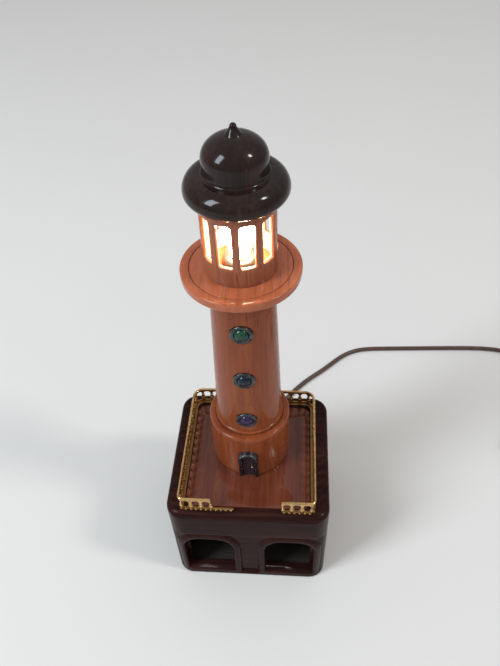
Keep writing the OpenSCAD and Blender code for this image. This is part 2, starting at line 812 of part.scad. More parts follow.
module washer(z) {
    at_tower(z) difference() {
        cylinder(h = washer_t, r = washer_r);
        translate([0, 0, -1]) cylinder(h = washer_t + 2, r = rod_r + 0.1);
    }
}

module tube_washer() {
    color([0.7, 0.7, 0.68]) washer(z_ceiling - washer_t);
}

module holder_washer() {
    color([0.7, 0.7, 0.68]) washer(holder_z - washer_t);
}

module lampholder_body() {
    color([0.12, 0.12, 0.12])
    at_tower(holder_z) rotate_extrude()
        difference() {
            union() {
                square([holder_r - 2, holder_h]);
                square([holder_r, holder_h - 2]);
                translate([holder_r - 2, holder_h - 2]) circle(2, $fn = 32);
            }
            translate([0, -1]) square([rod_r + 0.05, rod_end_z - holder_z + 1]);
            square([rod_r - 1, 17]);
            translate([0, contact_z - holder_z]) square([4, 20]);
            translate([0, sleeve_z - holder_z]) square([sleeve_in_r + sleeve_wall + 0.05, holder_h]);
        }
}

module lampholder_sleeve() {
    color([0.85, 0.7, 0.35])
    at_tower(sleeve_z) rotate_extrude()
        difference() {
            square([sleeve_in_r + sleeve_wall, 17]);
            translate([0, -1]) square([sleeve_in_r, 20]);
        }
}

module centre_contact() {
    color([0.85, 0.7, 0.35])
    at_tower(contact_z) {
        cylinder(h = 0.6, r = 3.6);
        cylinder(h = contact_h, r = 1.8, $fn = 32);
    }
}

module bulb_glass() {
    ball_z = bulb_h - bulb_r;
    neck_r = 7.2;
    color([1, 0.95, 0.85])
    at_tower(glass_z) rotate_extrude($fn = 72) {
        intersection() {
            translate([0, ball_z]) circle(bulb_r, $fn = 96);
            translate([0, ball_z - bulb_r / 2]) square([bulb_r, 2 * bulb_r]);
        }
        polygon([
            [0, 0], [neck_r, 0], [neck_r, 2.5],
            [bulb_r * cos(30), ball_z - bulb_r / 2], [0, ball_z - bulb_r / 2 + eps]
        ]);
    }
}

module bulb_cap() {
    color([0.8, 0.78, 0.72])
    at_tower(cap_z) rotate_extrude() {
        square([cap_r - 0.8, cap_h]);
        translate([0, 1.2]) square([cap_r, cap_h - 1.2]);
    }
}

module bulb_contact() {
    color([0.2, 0.2, 0.2])
    at_tower(bulb_tip_z) {
        cylinder(h = 1.2, r = 2, $fn = 32);
        translate([0, 0, 1.2]) cylinder(h = bulb_tip_h - 1.2, r1 = 3.2, r2 = 5.6, $fn = 48);
    }
}

// Cord and what is on it

relief_neck_r = 4;

// The lead inside the lamp: in through the strain relief, then up the threaded tube
module inner_flex() {
    bend = 20;
    top = holder_z + 15;
    color([0.2, 0.1, 0.06]) {
        translate([0, tower_back + bend, exit_z]) rotate([-90, 0, 0])
            cylinder(h = base_d / 2 - tower_back - bend, r = cord_r, $fn = 32);
        translate([0, tower_back + bend, exit_z + bend]) rotate([0, 90, 0])
            rotate([0, 0, -90]) rotate_extrude(angle = 90, $fn = 64)
                translate([bend, 0]) circle(cord_r, $fn = 32);
        at_tower(exit_z + bend) cylinder(h = top - exit_z - bend, r = cord_r, $fn = 32);
    }
}

module cord_relief() {
    flange_t = 2;
    color([0.1, 0.1, 0.1])
    translate([0, in_d / 2 - flange_t, exit_z]) rotate([-90, 0, 0]) rotate_extrude($fn = 48)
        difference() {
            union() {
                square([4.9, flange_t]);
                square([relief_neck_r, flange_t + base_wall + 1]);
                translate([0, flange_t + base_wall]) square([6.2, 2.5]);
                polygon([
                    [0, flange_t + base_wall], [5, flange_t + base_wall],
                    [5, flange_t + base_wall + 3], [3.7, flange_t + base_wall + relief_l],
                    [0, flange_t + base_wall + relief_l]
                ]);
            }
            translate([0, -1]) square([cord_r + 0.05, base_wall + relief_l + 10]);
        }
}

module cord_to_switch() {
    color([0.2, 0.1, 0.06]) tube(route_to_switch, cord_r, 10);
}

module cord_to_coil() {
    color([0.2, 0.1, 0.06]) tube(route_to_coil, cord_r, 10);
}

module cord_to_plug() {
    color([0.2, 0.1, 0.06]) tube(route_to_plug, cord_r, 10);
}

// The coil spirals in on its lower layer and out again on its upper one, clockwise from above
coil_half = coil_turns * 180;
function coil_rise(a) = coil_pitch * (a <= -90 ? 0 : a >= 90 ? 1 : (1 + sin(a)) / 2);
function coil_point(a) =
    let (r = coil_r_in + coil_pitch * abs(a) / 360, turn = -(a + coil_half))
    [coil_x + r * cos(turn), coil_y + r * sin(turn), coil_z + coil_rise(a)];
coil_route = [
    [coil_x + coil_r_out, coil_y + cord_d, coil_z],
    for (a = [-coil_half:360 / coil_steps:coil_half]) coil_point(a),
    [coil_x + coil_r_out, coil_y - cord_d, coil_top_z]
];
coil_clear = min([
    for (i = [0:len(coil_route) - 1])
        for (j = [i + coil_steps / 2:1:len(coil_route) - 1]) norm(coil_route[i] - coil_route[j])
]) - cord_d;
function run_length(p, i = 1) = i >= len(p) ? 0 : norm(p[i] - p[i - 1]) + run_length(p, i + 1);
echo(least_gap_in_coil = coil_clear);
echo(cord_lengths = [
    for (p = [route_to_switch, route_to_coil, coil_route, route_to_plug]) run_length(p)
]);

module cord_coil() {
    color([0.2, 0.1, 0.06]) tube(coil_route, cord_r, 6);
}

module coil_tie() {
    tie_w = 6;
    bend_r = 1.5;
    across = coil_r_out - coil_r_in - coil_pitch + cord_d + 2 * tie_gap;
    high = coil_pitch + cord_d + 2 * tie_gap;
    color([0.15, 0.15, 0.15])
    translate([coil_x - (coil_r_in + coil_r_out) / 2, coil_y, tie_t + high / 2])
        facing(tie_w / 2, tie_w) difference() {
            rounded(across + 2 * tie_t, high + 2 * tie_t, bend_r + tie_t);
            rounded(across, high, bend_r);
        }
}

// Draws along X what lies at the switch, from 0 to its length, and turns it into place
module at_switch() {
    translate([switch_x, switch_y, 0]) rotate([0, 0, -90]) children();
}

rocker_l = 15;
rocker_w = 9;
rocker_axle_r = 1.2;
rocker_z = switch_h - 4.8;

module switch_base() {
    color([0.15, 0.09, 0.06])
    at_switch() difference() {
        union() {
            translate([switch_l / 2, 0, 1]) linear_extrude(switch_h / 2 - 1)
                rounded(switch_l, switch_w, 6);
            translate([switch_l / 2, 0, 0]) linear_extrude(2) rounded(switch_l - 2, switch_w - 2, 5);
        }
        for (x = [-1, 1])
            translate([switch_l / 2 + x * 16, 0, -1]) {
                cylinder(h = switch_h, r = 1.3, $fn = 24);
                cylinder(h = 3, r = 2.5, $fn = 24);
            }
    }
}

module switch_cover() {
    color([0.15, 0.09, 0.06])
    at_switch() difference() {
        union() {
            translate([switch_l / 2, 0, switch_h / 2]) linear_extrude(switch_h / 2 - 1)
                rounded(switch_l, switch_w, 6);
            translate([switch_l / 2, 0, switch_h / 2]) linear_extrude(switch_h / 2)
                rounded(switch_l - 2, switch_w - 2, 5);
        }
        translate([switch_l / 2, 0, switch_h / 2 + 10])
            cube([rocker_l + 3, rocker_w + 0.8, 20 - 2 * eps], center = true);
        translate([switch_l / 2, 0, rocker_z]) rotate([90, 0, 0])
            cylinder(h = rocker_w + 5, r = rocker_axle_r + 0.05, center = true, $fn = 32);
        for (x = [-1, 1])
            translate([switch_l / 2 + x * 16, 0, switch_h / 2 - 1]) cylinder(h = 6, r = 1.1, $fn = 24);
    }
}

module switch_rocker() {
    half = rocker_l / 2;
    color([0.08, 0.08, 0.08])
    at_switch() translate([switch_l / 2, 0, rocker_z]) rotate([0, rocker_tip, 0]) {
        rotate([90, 0, 0]) translate([0, 0, -rocker_w / 2]) linear_extrude(rocker_w)
            polygon([
                [-half, 0.5], [0, -3], [half, 0.5], [half, 4.2], [0, 2.6], [-half, 4.2]
            ]);
        rotate([90, 0, 0]) cylinder(h = rocker_w + 4, r = rocker_axle_r, center = true, $fn = 32);
    }
}

module switch_screws() {
    color([0.7, 0.7, 0.68])
    at_switch() for (x = [-1, 1])
        translate([switch_l / 2 + x * 16, 0, 0.2]) {
            cylinder(h = 1.8 - eps, r = 2.3, $fn = 24);
            cylinder(h = switch_h / 2 + 3.5, r = 1.05, $fn = 24);
        }
}

plug_l = 36;
plug_w = 35;
plug_shoulder = 14;
plug_waist = 29;
plug_waist_w = 16;
plug_end_w = 10;
plug_flat_w = 20;
plug_edge_t = 6;
plug_sleeve = 12;
pin_spacing = 19;
plug_pin_r = 2;
plug_pin_l = 19;

// Draws along X what lies at the plug, from its pins' face to its sleeve, and turns it into place
module at_plug() {
    translate([plug_x, plug_y - plug_sleeve - plug_l, plug_z]) rotate([0, 0, 90]) children();
}

module plug_body() {
    color([0.1, 0.1, 0.1])
    at_plug() {
        intersection() {
            translate([0, 0, -10]) linear_extrude(20)
                polygon([
                    [0, -plug_w / 2], [plug_shoulder, -plug_w / 2],
                    [plug_waist, -plug_waist_w / 2], [plug_l, -plug_end_w / 2],
                    [plug_l, plug_end_w / 2], [plug_waist, plug_waist_w / 2],
                    [plug_shoulder, plug_w / 2], [0, plug_w / 2]
                ]);
            rotate([90, 0, 90]) linear_extrude(plug_l)
                polygon([
                    [-plug_w / 2, -plug_edge_t / 2], [-plug_flat_w / 2, -plug_z],
                    [plug_flat_w / 2, -plug_z], [plug_w / 2, -plug_edge_t / 2],
                    [plug_w / 2, plug_edge_t / 2], [plug_flat_w / 2, plug_z],
                    [-plug_flat_w / 2, plug_z], [-plug_w / 2, plug_edge_t / 2]
                ]);
        }
        translate([plug_l - 1, 0, 0]) rotate([0, 90, 0])
            cylinder(h = plug_sleeve + 1, r1 = 4.8, r2 = 3.5, $fn = 48);
    }
}

module plug_pins() {
    color([0.78, 0.76, 0.7])
    at_plug() for (y = [-1, 1])
        translate([0, y * pin_spacing / 2, 0]) rotate([0, -90, 0]) {
            cylinder(h = plug_pin_l - plug_pin_r, r = plug_pin_r, $fn = 32);
            translate([0, 0, plug_pin_l - plug_pin_r]) sphere(plug_pin_r, $fn = 32);
        }
}

base_block();
bottom_plate();
plate_screws();
felt_feet();
deck_panel();
rail_left();
rail_right();
rail_pins();
collar();
door_frame();
door_leaf();
tower_shaft();
porthole_ring(2);  // porthole_ring_top
porthole_ring(1);  // porthole_ring_middle
porthole_ring(0);  // porthole_ring_bottom
porthole_lens(2);  // porthole_lens_top
porthole_lens(1);  // porthole_lens_middle
porthole_lens(0);  // porthole_lens_bottom
gallery_ring();
gallery_disc();
lantern_tube();
dome();
finial();
threaded_tube();
tube_nut();
tube_washer();
holder_washer();
lampholder_body();
lampholder_sleeve();
centre_contact();
bulb_glass();
bulb_cap();
bulb_contact();
inner_flex();
cord_relief();
cord_to_switch();
switch_base();
switch_cover();
switch_rocker();
switch_screws();
cord_to_coil();
cord_coil();
coil_tie();
cord_to_plug();
plug_body();
plug_pins();
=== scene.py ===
import bisect
import math

import bmesh
import bpy
from mathutils import Matrix, Vector


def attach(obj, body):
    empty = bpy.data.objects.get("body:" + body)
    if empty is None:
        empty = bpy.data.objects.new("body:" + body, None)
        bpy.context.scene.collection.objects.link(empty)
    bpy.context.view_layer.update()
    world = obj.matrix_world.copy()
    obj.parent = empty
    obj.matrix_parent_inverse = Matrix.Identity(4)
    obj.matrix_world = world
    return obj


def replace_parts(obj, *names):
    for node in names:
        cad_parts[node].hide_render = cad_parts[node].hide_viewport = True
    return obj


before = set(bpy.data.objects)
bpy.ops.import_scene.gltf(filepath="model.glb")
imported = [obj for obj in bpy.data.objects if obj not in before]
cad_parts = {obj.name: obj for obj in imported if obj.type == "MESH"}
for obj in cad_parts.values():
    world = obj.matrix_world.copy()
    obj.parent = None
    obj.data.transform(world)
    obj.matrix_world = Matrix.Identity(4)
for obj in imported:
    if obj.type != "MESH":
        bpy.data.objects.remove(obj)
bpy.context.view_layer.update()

# ----------------------------------------------------------
# The view and the studio.
# The lamp stands on a pale floor and is looked at from above its front, a little from the
# right. Large soft lamps stand where the windows of the room would shine in the lacquer.

MM = 0.001


def aimed(place, target):
    """Matrix of a lamp at one point in millimetres that looks at another."""
    place, target = Vector(place) * MM, Vector(target) * MM
    return Matrix.Translation(place) @ (target - place).to_track_quat("-Z", "Y").to_matrix().to_4x4()


eye = (38.73, -336.46, 642.55)
tilt, turn, lean = (math.radians(a) for a in (45.98, -5.72, -2.93))
ahead = Vector((math.sin(turn) * math.cos(tilt), math.cos(turn) * math.cos(tilt), -math.sin(tilt)))
level = Vector((math.cos(turn), -math.sin(turn), 0))
over = level.cross(ahead)
to_right = math.cos(lean) * level + math.sin(lean) * over
to_top = math.cos(lean) * over - math.sin(lean) * level


def in_scene(name, data):
    made = bpy.data.objects.new(name, data)
    bpy.context.scene.collection.objects.link(made)
    return made


camera = in_scene("camera", bpy.data.cameras.new("camera"))
camera.data.sensor_width = 24
camera.data.lens = 22.22
camera.data.clip_start, camera.data.clip_end = 0.02, 100
camera.matrix_world = (
    Matrix.Translation(Vector(eye) * MM)
    @ Matrix((to_right, to_top, -ahead)).transposed().to_4x4()
)
bpy.context.scene.camera = camera
bpy.context.scene.view_settings.view_transform = "Standard"

for name, place, target, size, watts, colour in (
    ("window_left", (-1900, -1180, 2150), (0, 0, 250), (0.8, 1.7), 76.0, (0.84, 0.92, 1.0)),
    ("window_right", (2200, -500, 2650), (0, 0, 250), (0.4, 0.55), 34.0, (1.0, 0.97, 0.94)),
):
    light = in_scene(name, bpy.data.lights.new(name, "AREA"))
    light.data.shape = "RECTANGLE"
    light.data.size, light.data.size_y = size
    light.data.energy = watts
    light.data.color = colour
    light.matrix_world = aimed(place, target)

world = bpy.data.worlds.new("studio")
world.use_nodes = True
bpy.context.scene.world = world


def new_finish(name):
    made = bpy.data.materials.new(name)
    made.use_nodes = True
    return made, made.node_tree, made.node_tree.nodes["Principled BSDF"]


def feed(node, inputs):
    """Sets each of a node's inputs to a value, or joins it to a socket."""
    for key, value in inputs.items():
        if isinstance(value, bpy.types.NodeSocket):
            node.id_data.links.new(value, node.inputs[key])
        else:
            node.inputs[key].default_value = value


def add_node(tree, kind, inputs=None, **settings):
    made = tree.nodes.new(kind)
    for key, value in settings.items():
        setattr(made, key, value)
    feed(made, inputs or {})
    return made


def object_place(tree):
    return add_node(tree, "ShaderNodeTexCoord").outputs["Object"]


def upright_part(tree, vector):
    return add_node(tree, "ShaderNodeSeparateXYZ", {0: vector}).outputs["Z"]


def spread(tree, value, low, high, to_low=0.0, to_high=1.0):
    """The value's part from low to high, drawn out from to_low to to_high."""
    return add_node(tree, "ShaderNodeMapRange", {
        "Value": value, "From Min": low, "From Max": high, "To Min": to_low, "To Max": to_high,
    }).outputs["Result"]


def noise(tree, place, scale, detail=3.0, roughness=0.5, distortion=0.0):
    return add_node(tree, "ShaderNodeTexNoise", {
        "Vector": place, "Scale": scale, "Detail": detail, "Roughness": roughness,
        "Distortion": distortion,
    }).outputs["Fac"]


def blended(tree, share, first, second, kind="RGBA"):
    """A colour, or a number where kind is FLOAT, between first and second."""
    a, b, out = (6, 7, 2) if kind == "RGBA" else (2, 3, 0)
    mixed = add_node(tree, "ShaderNodeMix", {0: share, a: first, b: second}, data_type=kind)
    return mixed.outputs[out]


tree = world.node_tree
upwards = upright_part(tree, add_node(tree, "ShaderNodeTexCoord").outputs["Generated"])
sky = blended(tree, spread(tree, upwards, 0.0, 0.9), (0.40, 0.395, 0.385, 1), (0.60, 0.61, 0.63, 1))
feed(tree.nodes["Background"], {"Color": sky})

floor_finish, tree, shader = new_finish("floor_paper")
paper = noise(tree, object_place(tree), 3.0)
feed(shader, {
    "Base Color": blended(tree, paper, (0.66, 0.645, 0.62, 1), (0.63, 0.615, 0.59, 1)),
    "Roughness": 0.7, "Specular IOR Level": 0.25,
})
floor_half, floor_z = 30, -0.0001
floor_mesh = bpy.data.meshes.new("floor")
floor_mesh.from_pydata(
    [(sx * floor_half, sy * floor_half, floor_z) for sx, sy in ((-1, -1), (1, -1), (1, 1), (-1, 1))],
    [], [(0, 1, 2, 3)],
)
floor_mesh.materials.append(floor_finish)
floor = in_scene("floor", floor_mesh)

# ----------------------------------------------------------
# The base block.
# One block of hardwood, stained almost black and lacquered until it shines. Two arches are cut
# through its front into the hollow inside, and a rounded band is carved about each of them.


def new_group(name, inputs, outputs):
    """A shader node group. Returns it with its input node's and output node's sockets."""
    group = bpy.data.node_groups.new(name, "ShaderNodeTree")
    for key, value in inputs.items():
        kind = "NodeSocketVector" if value is None else "NodeSocketFloat"
        socket = group.interface.new_socket(key, in_out="INPUT", socket_type=kind)
        if value is not None:
            socket.default_value = value
    for key in outputs:
        group.interface.new_socket(key, in_out="OUTPUT", socket_type="NodeSocketFloat")
    return group, group.nodes.new("NodeGroupInput").outputs, group.nodes.new("NodeGroupOutput").inputs


def times(tree, value, factor):
    """A number times a number, or a vector times a vector."""
    kind = "ShaderNodeMath" if isinstance(factor, float) else "ShaderNodeVectorMath"
    return add_node(tree, kind, {0: value, 1: factor}, operation="MULTIPLY").outputs[0]


def bumped(tree, height, depth, strength=1.0, over_normal=None):
    """A normal for heights from 0 to 1, where 1 stands depth millimetres proud."""
    sockets = {"Height": height, "Distance": depth * MM, "Strength": strength}
    if over_normal:
        sockets["Normal"] = over_normal
    return add_node(tree, "ShaderNodeBump", sockets).outputs["Normal"]


grain, given, wanted = new_group(
    "long grain", {"Vector": None, "Fineness": 330.0, "Swirl": 0.6}, ("Streaks", "Pores")
)
drawn_out = times(grain, given["Vector"], (1.0, 1.0, 0.06))
fine = noise(grain, drawn_out, given["Fineness"], 5.0, 0.6, given["Swirl"])
broad = noise(grain, drawn_out, times(grain, given["Fineness"], 0.17), 3.0, 0.5, given["Swirl"])
dashes = noise(grain, drawn_out, times(grain, given["Fineness"], 3.4), 1.0)
fine, broad = spread(grain, fine, 0.32, 0.68), spread(grain, broad, 0.3, 0.7)
grain.links.new(blended(grain, 0.45, fine, broad, "FLOAT"), wanted["Streaks"])
grain.links.new(spread(grain, dashes, 0.62, 0.74, 0.0, 0.6), wanted["Pores"])

polish, given, wanted = new_group("hand polish", {"Vector": None, "Size": 60.0}, ("Smears", "Ripple"))
smears = noise(polish, given["Vector"], given["Size"], 6.0, 0.65, 1.2)
polish.links.new(spread(polish, smears, 0.35, 0.7), wanted["Smears"])
ripple = noise(polish, given["Vector"], times(polish, given["Size"], 5.0), 1.0)
polish.links.new(ripple, wanted["Ripple"])


def group_at(tree, group, place, **values):
    """The outputs of a node group that is laid in a material at a place."""
    return add_node(tree, "ShaderNodeGroup", {"Vector": place, **values}, node_tree=group).outputs


def turned_place(tree, lie):
    """The place in a piece, with the grain laid over from upright by the angles of lie."""
    place = object_place(tree)
    return add_node(tree, "ShaderNodeMapping", {"Vector": place, "Rotation": lie}).outputs[0]


def lacquered(name, dark, middle, light, fineness=330.0, swirl=0.6, gloss=(0.16, 0.3), coat=0.55,
              lie=(0.0, 0.0, 0.0), shine=1.4, pore_depth=0.05, ripple_depth=0.03, under_coat=0.06):
    """Wood under clear lacquer. lie turns the grain, which else runs upright."""
    made, tree, shader = new_finish(name)
    place = turned_place(tree, lie)
    figure = group_at(tree, grain, place, Fineness=fineness, Swirl=swirl)
    rubbed = group_at(tree, polish, place)
    ramp = add_node(tree, "ShaderNodeValToRGB", {"Fac": figure["Streaks"]})
    ramp.color_ramp.elements[0].color = (*dark, 1)
    ramp.color_ramp.elements[1].color = (*light, 1)
    ramp.color_ramp.elements.new(0.5).color = (*middle, 1)
    pored = bumped(tree, figure["Pores"], -pore_depth, 0.5)
    pore_colour = (*(c * 0.6 for c in dark), 1)
    feed(shader, {
        "Base Color": blended(tree, figure["Pores"], ramp.outputs["Color"], pore_colour),
        "Roughness": spread(tree, rubbed["Smears"], 0, 1, *gloss),
        "Normal": bumped(tree, rubbed["Ripple"], ripple_depth, 0.6, pored),
        "Specular IOR Level": under_coat,
        "Coat Weight": coat, "Coat IOR": shine, "Coat Roughness": 0.06,
    })
    return made


def as_mesh(name, points, faces):
    """A mesh from points in millimetres, with its faces turned outwards."""
    mesh = bpy.data.meshes.new(name)
    mesh.from_pydata([Vector(p) * MM for p in points], [], faces)
    work = bmesh.new()
    work.from_mesh(mesh)
    bmesh.ops.remove_doubles(work, verts=work.verts, dist=0.002 * MM)
    bmesh.ops.recalc_face_normals(work, faces=work.faces)
    work.to_mesh(mesh)
    work.free()
    return mesh


def ease(piece, width, angle, segments=2):
    """Rounds a piece's edges where they turn by more than an angle, width millimetres wide."""
    edge = piece.modifiers.new("eased", "BEVEL")
    edge.width, edge.segments = width * MM, segments
    edge.limit_method, edge.angle_limit = "ANGLE", math.radians(angle)


def put(mesh, finish, body="root", stands_for=(), crisp=40, eased=0.0):
    """Puts a mesh in the scene as a piece. Edges that turn by more than crisp degrees stay sharp."""
    piece = in_scene(mesh.name, mesh)
    mesh.materials.append(finish)
    mesh.polygons.foreach_set("use_smooth", [True] * len(mesh.polygons))
    mesh.set_sharp_from_angle(angle=math.radians(crisp))
    if eased:
        ease(piece, eased, crisp)
    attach(piece, body)
    if stands_for:
        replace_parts(piece, *stands_for)
    return piece


def worked(piece):
    """A new mesh of a piece with all its modifiers applied."""
    return bpy.data.meshes.new_from_object(piece.evaluated_get(bpy.context.evaluated_depsgraph_get()))


def carve(mesh, cutters):
    """Cuts each of the cutter meshes out of a mesh."""
    block = in_scene("block", mesh)
    for cutter_mesh in cutters:
        cutter = in_scene("cutter", cutter_mesh)
        cut = block.modifiers.new("cut", "BOOLEAN")
        cut.solver, cut.operation, cut.object = "EXACT", "DIFFERENCE", cutter
        left = worked(block)
        block.modifiers.clear()
        bpy.data.objects.remove(cutter)
        block.data = left
    name, left = mesh.name, block.data
    bpy.data.objects.remove(block)
    bpy.data.meshes.remove(mesh)
    left.name = name
    return left


def bridged(rows, count):
    """Faces between rows of count points each, closed round."""
    faces = []
    for low in range(0, (rows - 1) * count, count):
        for k in range(count):
            n = (k + 1) % count
            faces.append((low + k, low + n, low + count + n, low + count + k))
    return faces


def stacked(rings):
    """Points and faces of rings of as many points each, closed round and capped at both ends."""
    count, last = len(rings[0]), (len(rings) - 1) * len(rings[0])
    caps = [tuple(range(count - 1, -1, -1)), tuple(range(last, last + count))]
    return [p for ring in rings for p in ring], bridged(len(rings), count) + caps


def arc(x, y, rx, ry, first, last, steps):
    """Points on an ellipse about (x, y), from one angle in degrees to another."""
    return [
        (x + rx * math.cos(math.radians(first + (last - first) * k / steps)),
         y + ry * math.sin(math.radians(first + (last - first) * k / steps)))
        for k in range(steps + 1)
    ]


def rounded_ring(width, depth, radius, middle=(0.0, 0.0)):
    """Points round a rectangle with rounded corners, anticlockwise from its right side."""
    ring = []
    for quarter, (sx, sy) in enumerate(((1, 1), (-1, 1), (-1, -1), (1, -1))):
        x, y = middle[0] + sx * (width / 2 - radius), middle[1] + sy * (depth / 2 - radius)
        ring += arc(x, y, radius, radius, 90 * quarter, 90 * (quarter + 1), 8)
    return ring


def upright_prism(name, outline, low, high):
    return as_mesh(name, *stacked([[(x, y, z) for x, y in outline] for z in (low, high)]))


def level_prism(name, outline, front, back):
    """A prism that lies in Y. The outline is in X and Z."""
    return as_mesh(name, *stacked([[(x, y, z) for x, z in outline] for y in (front, back)]))


def arch_outline(middle, half, foot, head, radius, steps=14):
    """An upright opening with a straight foot and rounded upper corners, in X and Z."""
    outline = [(middle - half, foot), (middle + half, foot)]
    outline += arc(middle + half - radius, head - radius, radius, radius, 0, 90, steps)
    return outline + arc(middle - half + radius, head - radius, radius, radius, 90, 180, steps)


def ease_in(value, low, high):
    """0 at low and 1 at high, smooth between them."""
    t = max(0.0, min(1.0, (value - low) / (high - low)))
    return t * t * (3 - 2 * t)


base_half_w, base_half_d, base_foot, base_top = 76, 71, 2, 124
upright_r, brow_r = 16, 6
room_w, room_d, room_r, room_top = 130, 120, 8, 112
rebate_w, rebate_d, rebate_r, rebate_top = 142, 132, 14, 6.01
recess_w, recess_d, recess_r, recess_y, recess_z = 115.8, 115.3, 8.4, -3.25, 118
tower_y, tube_hole_d = 10.0, 10.6
arch_x, arch_half, arch_foot, arch_head, arch_r = 40, 24, 10, 77, 18
band, band_depth, lip = 8, 2.5, 1.5
quirk, quirk_w, band_roll, bead_at, bead_w, bead_h = 1.1, 1.6, 2.6, 5.2, 0.5, 0.5
ground_z, ground_x, ground_run = 4.5, 67, 8


def past_arch(x, z, with_foot):
    """How far a point of the front lies outside the nearer arch. It is negative inside."""
    dx = abs(abs(x) - arch_x) - (arch_half - arch_r)
    dz = z - (arch_head - arch_r)
    gap = math.hypot(max(dx, 0), max(dz, 0)) + min(max(dx, dz), 0) - arch_r
    return max(gap, arch_foot - z) if with_foot else gap


def rolled(gap, radius):
    """How deep a rounded edge lies, gap inside its outer line."""
    return radius - math.sqrt(max(0.0, radius * radius - max(0.0, radius - max(gap, 0)) ** 2))


def carved_depth(x, z):
    """How deep the carving lies under the front's face, on the bands and beside them."""
    gap = past_arch(x, z, False)
    above_foot = ease_in(z, ground_z, ground_z + 3)
    ground = band_depth * (1 - ease_in(z, arch_head + band - 0.5, arch_head + band + 3))
    ground *= (1 - ease_in(abs(x), ground_x, ground_x + ground_run)) * above_foot
    if gap > band:
        depth = max(ground, quirk * above_foot * (1 - ease_in(gap, band, band + quirk_w)))
    else:
        shoulder = max(0.0, 1 - (band - gap) / band_roll)
        depth = max(ground, quirk * above_foot) * shoulder * shoulder
        depth += bead_h * ease_in(z, 5, 8) * math.exp(-((gap - bead_at) / bead_w) ** 2)
    return max(depth, rolled(past_arch(x, z, True), lip))


flat_w, flat_d = base_half_w - upright_r, base_half_d - upright_r
edge_points = [(float(x), -base_half_d, 0.0, -1.0) for x in range(-flat_w, flat_w + 1)]
for sx, first in ((1, -90), (1, 0), (-1, 90), (-1, 180)):
    sy = -1 if first in (-90, 180) else 1
    steps = 22 if sy < 0 else 10
    for nx, ny in arc(0, 0, 1, 1, first, first + 90, steps):
        edge_points.append((sx * flat_w + upright_r * nx, sy * flat_d + upright_r * ny, nx, ny))
    if first in (-90, 90):
        side_ys = [11 * k - flat_d for k in range(1, 10)]
        edge_points += [(sx * base_half_w, sx * y, float(sx), 0.0) for y in side_ys]
    elif first == 0:
        edge_points += [(flat_w - 10 * k, base_half_d, 0.0, 1.0) for k in range(1, 12)]
rows = [(z, 0.0) for z in range(base_foot, base_top - brow_r + 1)]
rows += [(z, -inset) for inset, z in arc(-brow_r, base_top - brow_r, brow_r, brow_r, 0, 90, 6)[1:]]
block_rings = []
for z, inset in rows:
    ring = []
    for x, y, nx, ny in edge_points:
        deep = inset + (carved_depth(x, z) if ny < -0.3 and z < base_top - brow_r else 0.0)
        ring.append((x - nx * deep, y - ny * deep, z))
    block_rings.append(ring)
past_front, past_top = -80, 130
cutters = [
    upright_prism("room", rounded_ring(room_w, room_d, room_r), 1, room_top),
    upright_prism("rebate", rounded_ring(rebate_w, rebate_d, rebate_r), 1, rebate_top),
]
for name, x in (("left_arch", -arch_x), ("right_arch", arch_x)):
    outline = arch_outline(x, arch_half, arch_foot, arch_head, arch_r)
    cutters.append(level_prism(name, outline, past_front, 1 - room_d / 2))
recess = rounded_ring(recess_w, recess_d, recess_r, (0.0, recess_y))
tube_hole = rounded_ring(tube_hole_d, tube_hole_d, tube_hole_d / 2 - 0.01, (0, tower_y))
cutters += [
    upright_prism("deck_recess", recess, recess_z, past_top),
    upright_prism("tube_hole", tube_hole, room_top - 2, past_top),
]
block_mesh = carve(as_mesh("base_block_carved", *stacked(block_rings)), cutters)
base_finish = lacquered(
    "black_stained_wood", (0.008, 0.0032, 0.003), (0.020, 0.007, 0.006), (0.046, 0.015, 0.011),
    fineness=260, gloss=(0.14, 0.26), coat=0.1, lie=(0.0, math.radians(90), 0.0), shine=1.34,
    under_coat=0.02,
)
put(block_mesh, base_finish, stands_for=["base_block"], crisp=38)

# ----------------------------------------------------------
# The bottom plate, its screws and the felt feet.
# A plain sheet of birch plywood closes the hollow from below. Four countersunk steel screws
# hold it, and a round felt pad is glued under each corner of the block.

crisp_corners = bpy.data.node_groups.new("crisp corners", "GeometryNodeTree")
crisp_corners.interface.new_socket("Geometry", in_out="INPUT", socket_type="NodeSocketGeometry")
crisp_corners.interface.new_socket("Geometry", in_out="OUTPUT", socket_type="NodeSocketGeometry")
crisp_angle = 32
edge_angle = crisp_corners.nodes.new("GeometryNodeInputMeshEdgeAngle").outputs["Unsigned Angle"]
soft_edge = add_node(crisp_corners, "FunctionNodeCompare", {
    0: edge_angle, 1: math.radians(crisp_angle),
}, operation="LESS_THAN").outputs[0]
all_smooth = add_node(crisp_corners, "GeometryNodeSetShadeSmooth", {
    "Geometry": crisp_corners.nodes.new("NodeGroupInput").outputs[0], "Shade Smooth": True,
}, domain="FACE").outputs[0]
crisp = add_node(crisp_corners, "GeometryNodeSetShadeSmooth", {
    "Geometry": all_smooth, "Shade Smooth": soft_edge,
}, domain="EDGE").outputs[0]
crisp_corners.links.new(crisp, crisp_corners.nodes.new("NodeGroupOutput").inputs[0])


def dress(node, finish, eased=0.0):
    """Gives a CAD node its finish, and eases its edges without touching its mesh."""
    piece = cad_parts[node]
    piece.data.materials.clear()
    piece.data.materials.append(finish)
    if "custom_normal" in piece.data.attributes:
        piece.data.attributes.remove(piece.data.attributes["custom_normal"])
    piece.modifiers.new("joined", "WELD").merge_threshold = 0.002 * MM
    if eased:
        ease(piece, eased, crisp_angle)
    piece.modifiers.new("crisp", "NODES").node_group = crisp_corners
    return piece


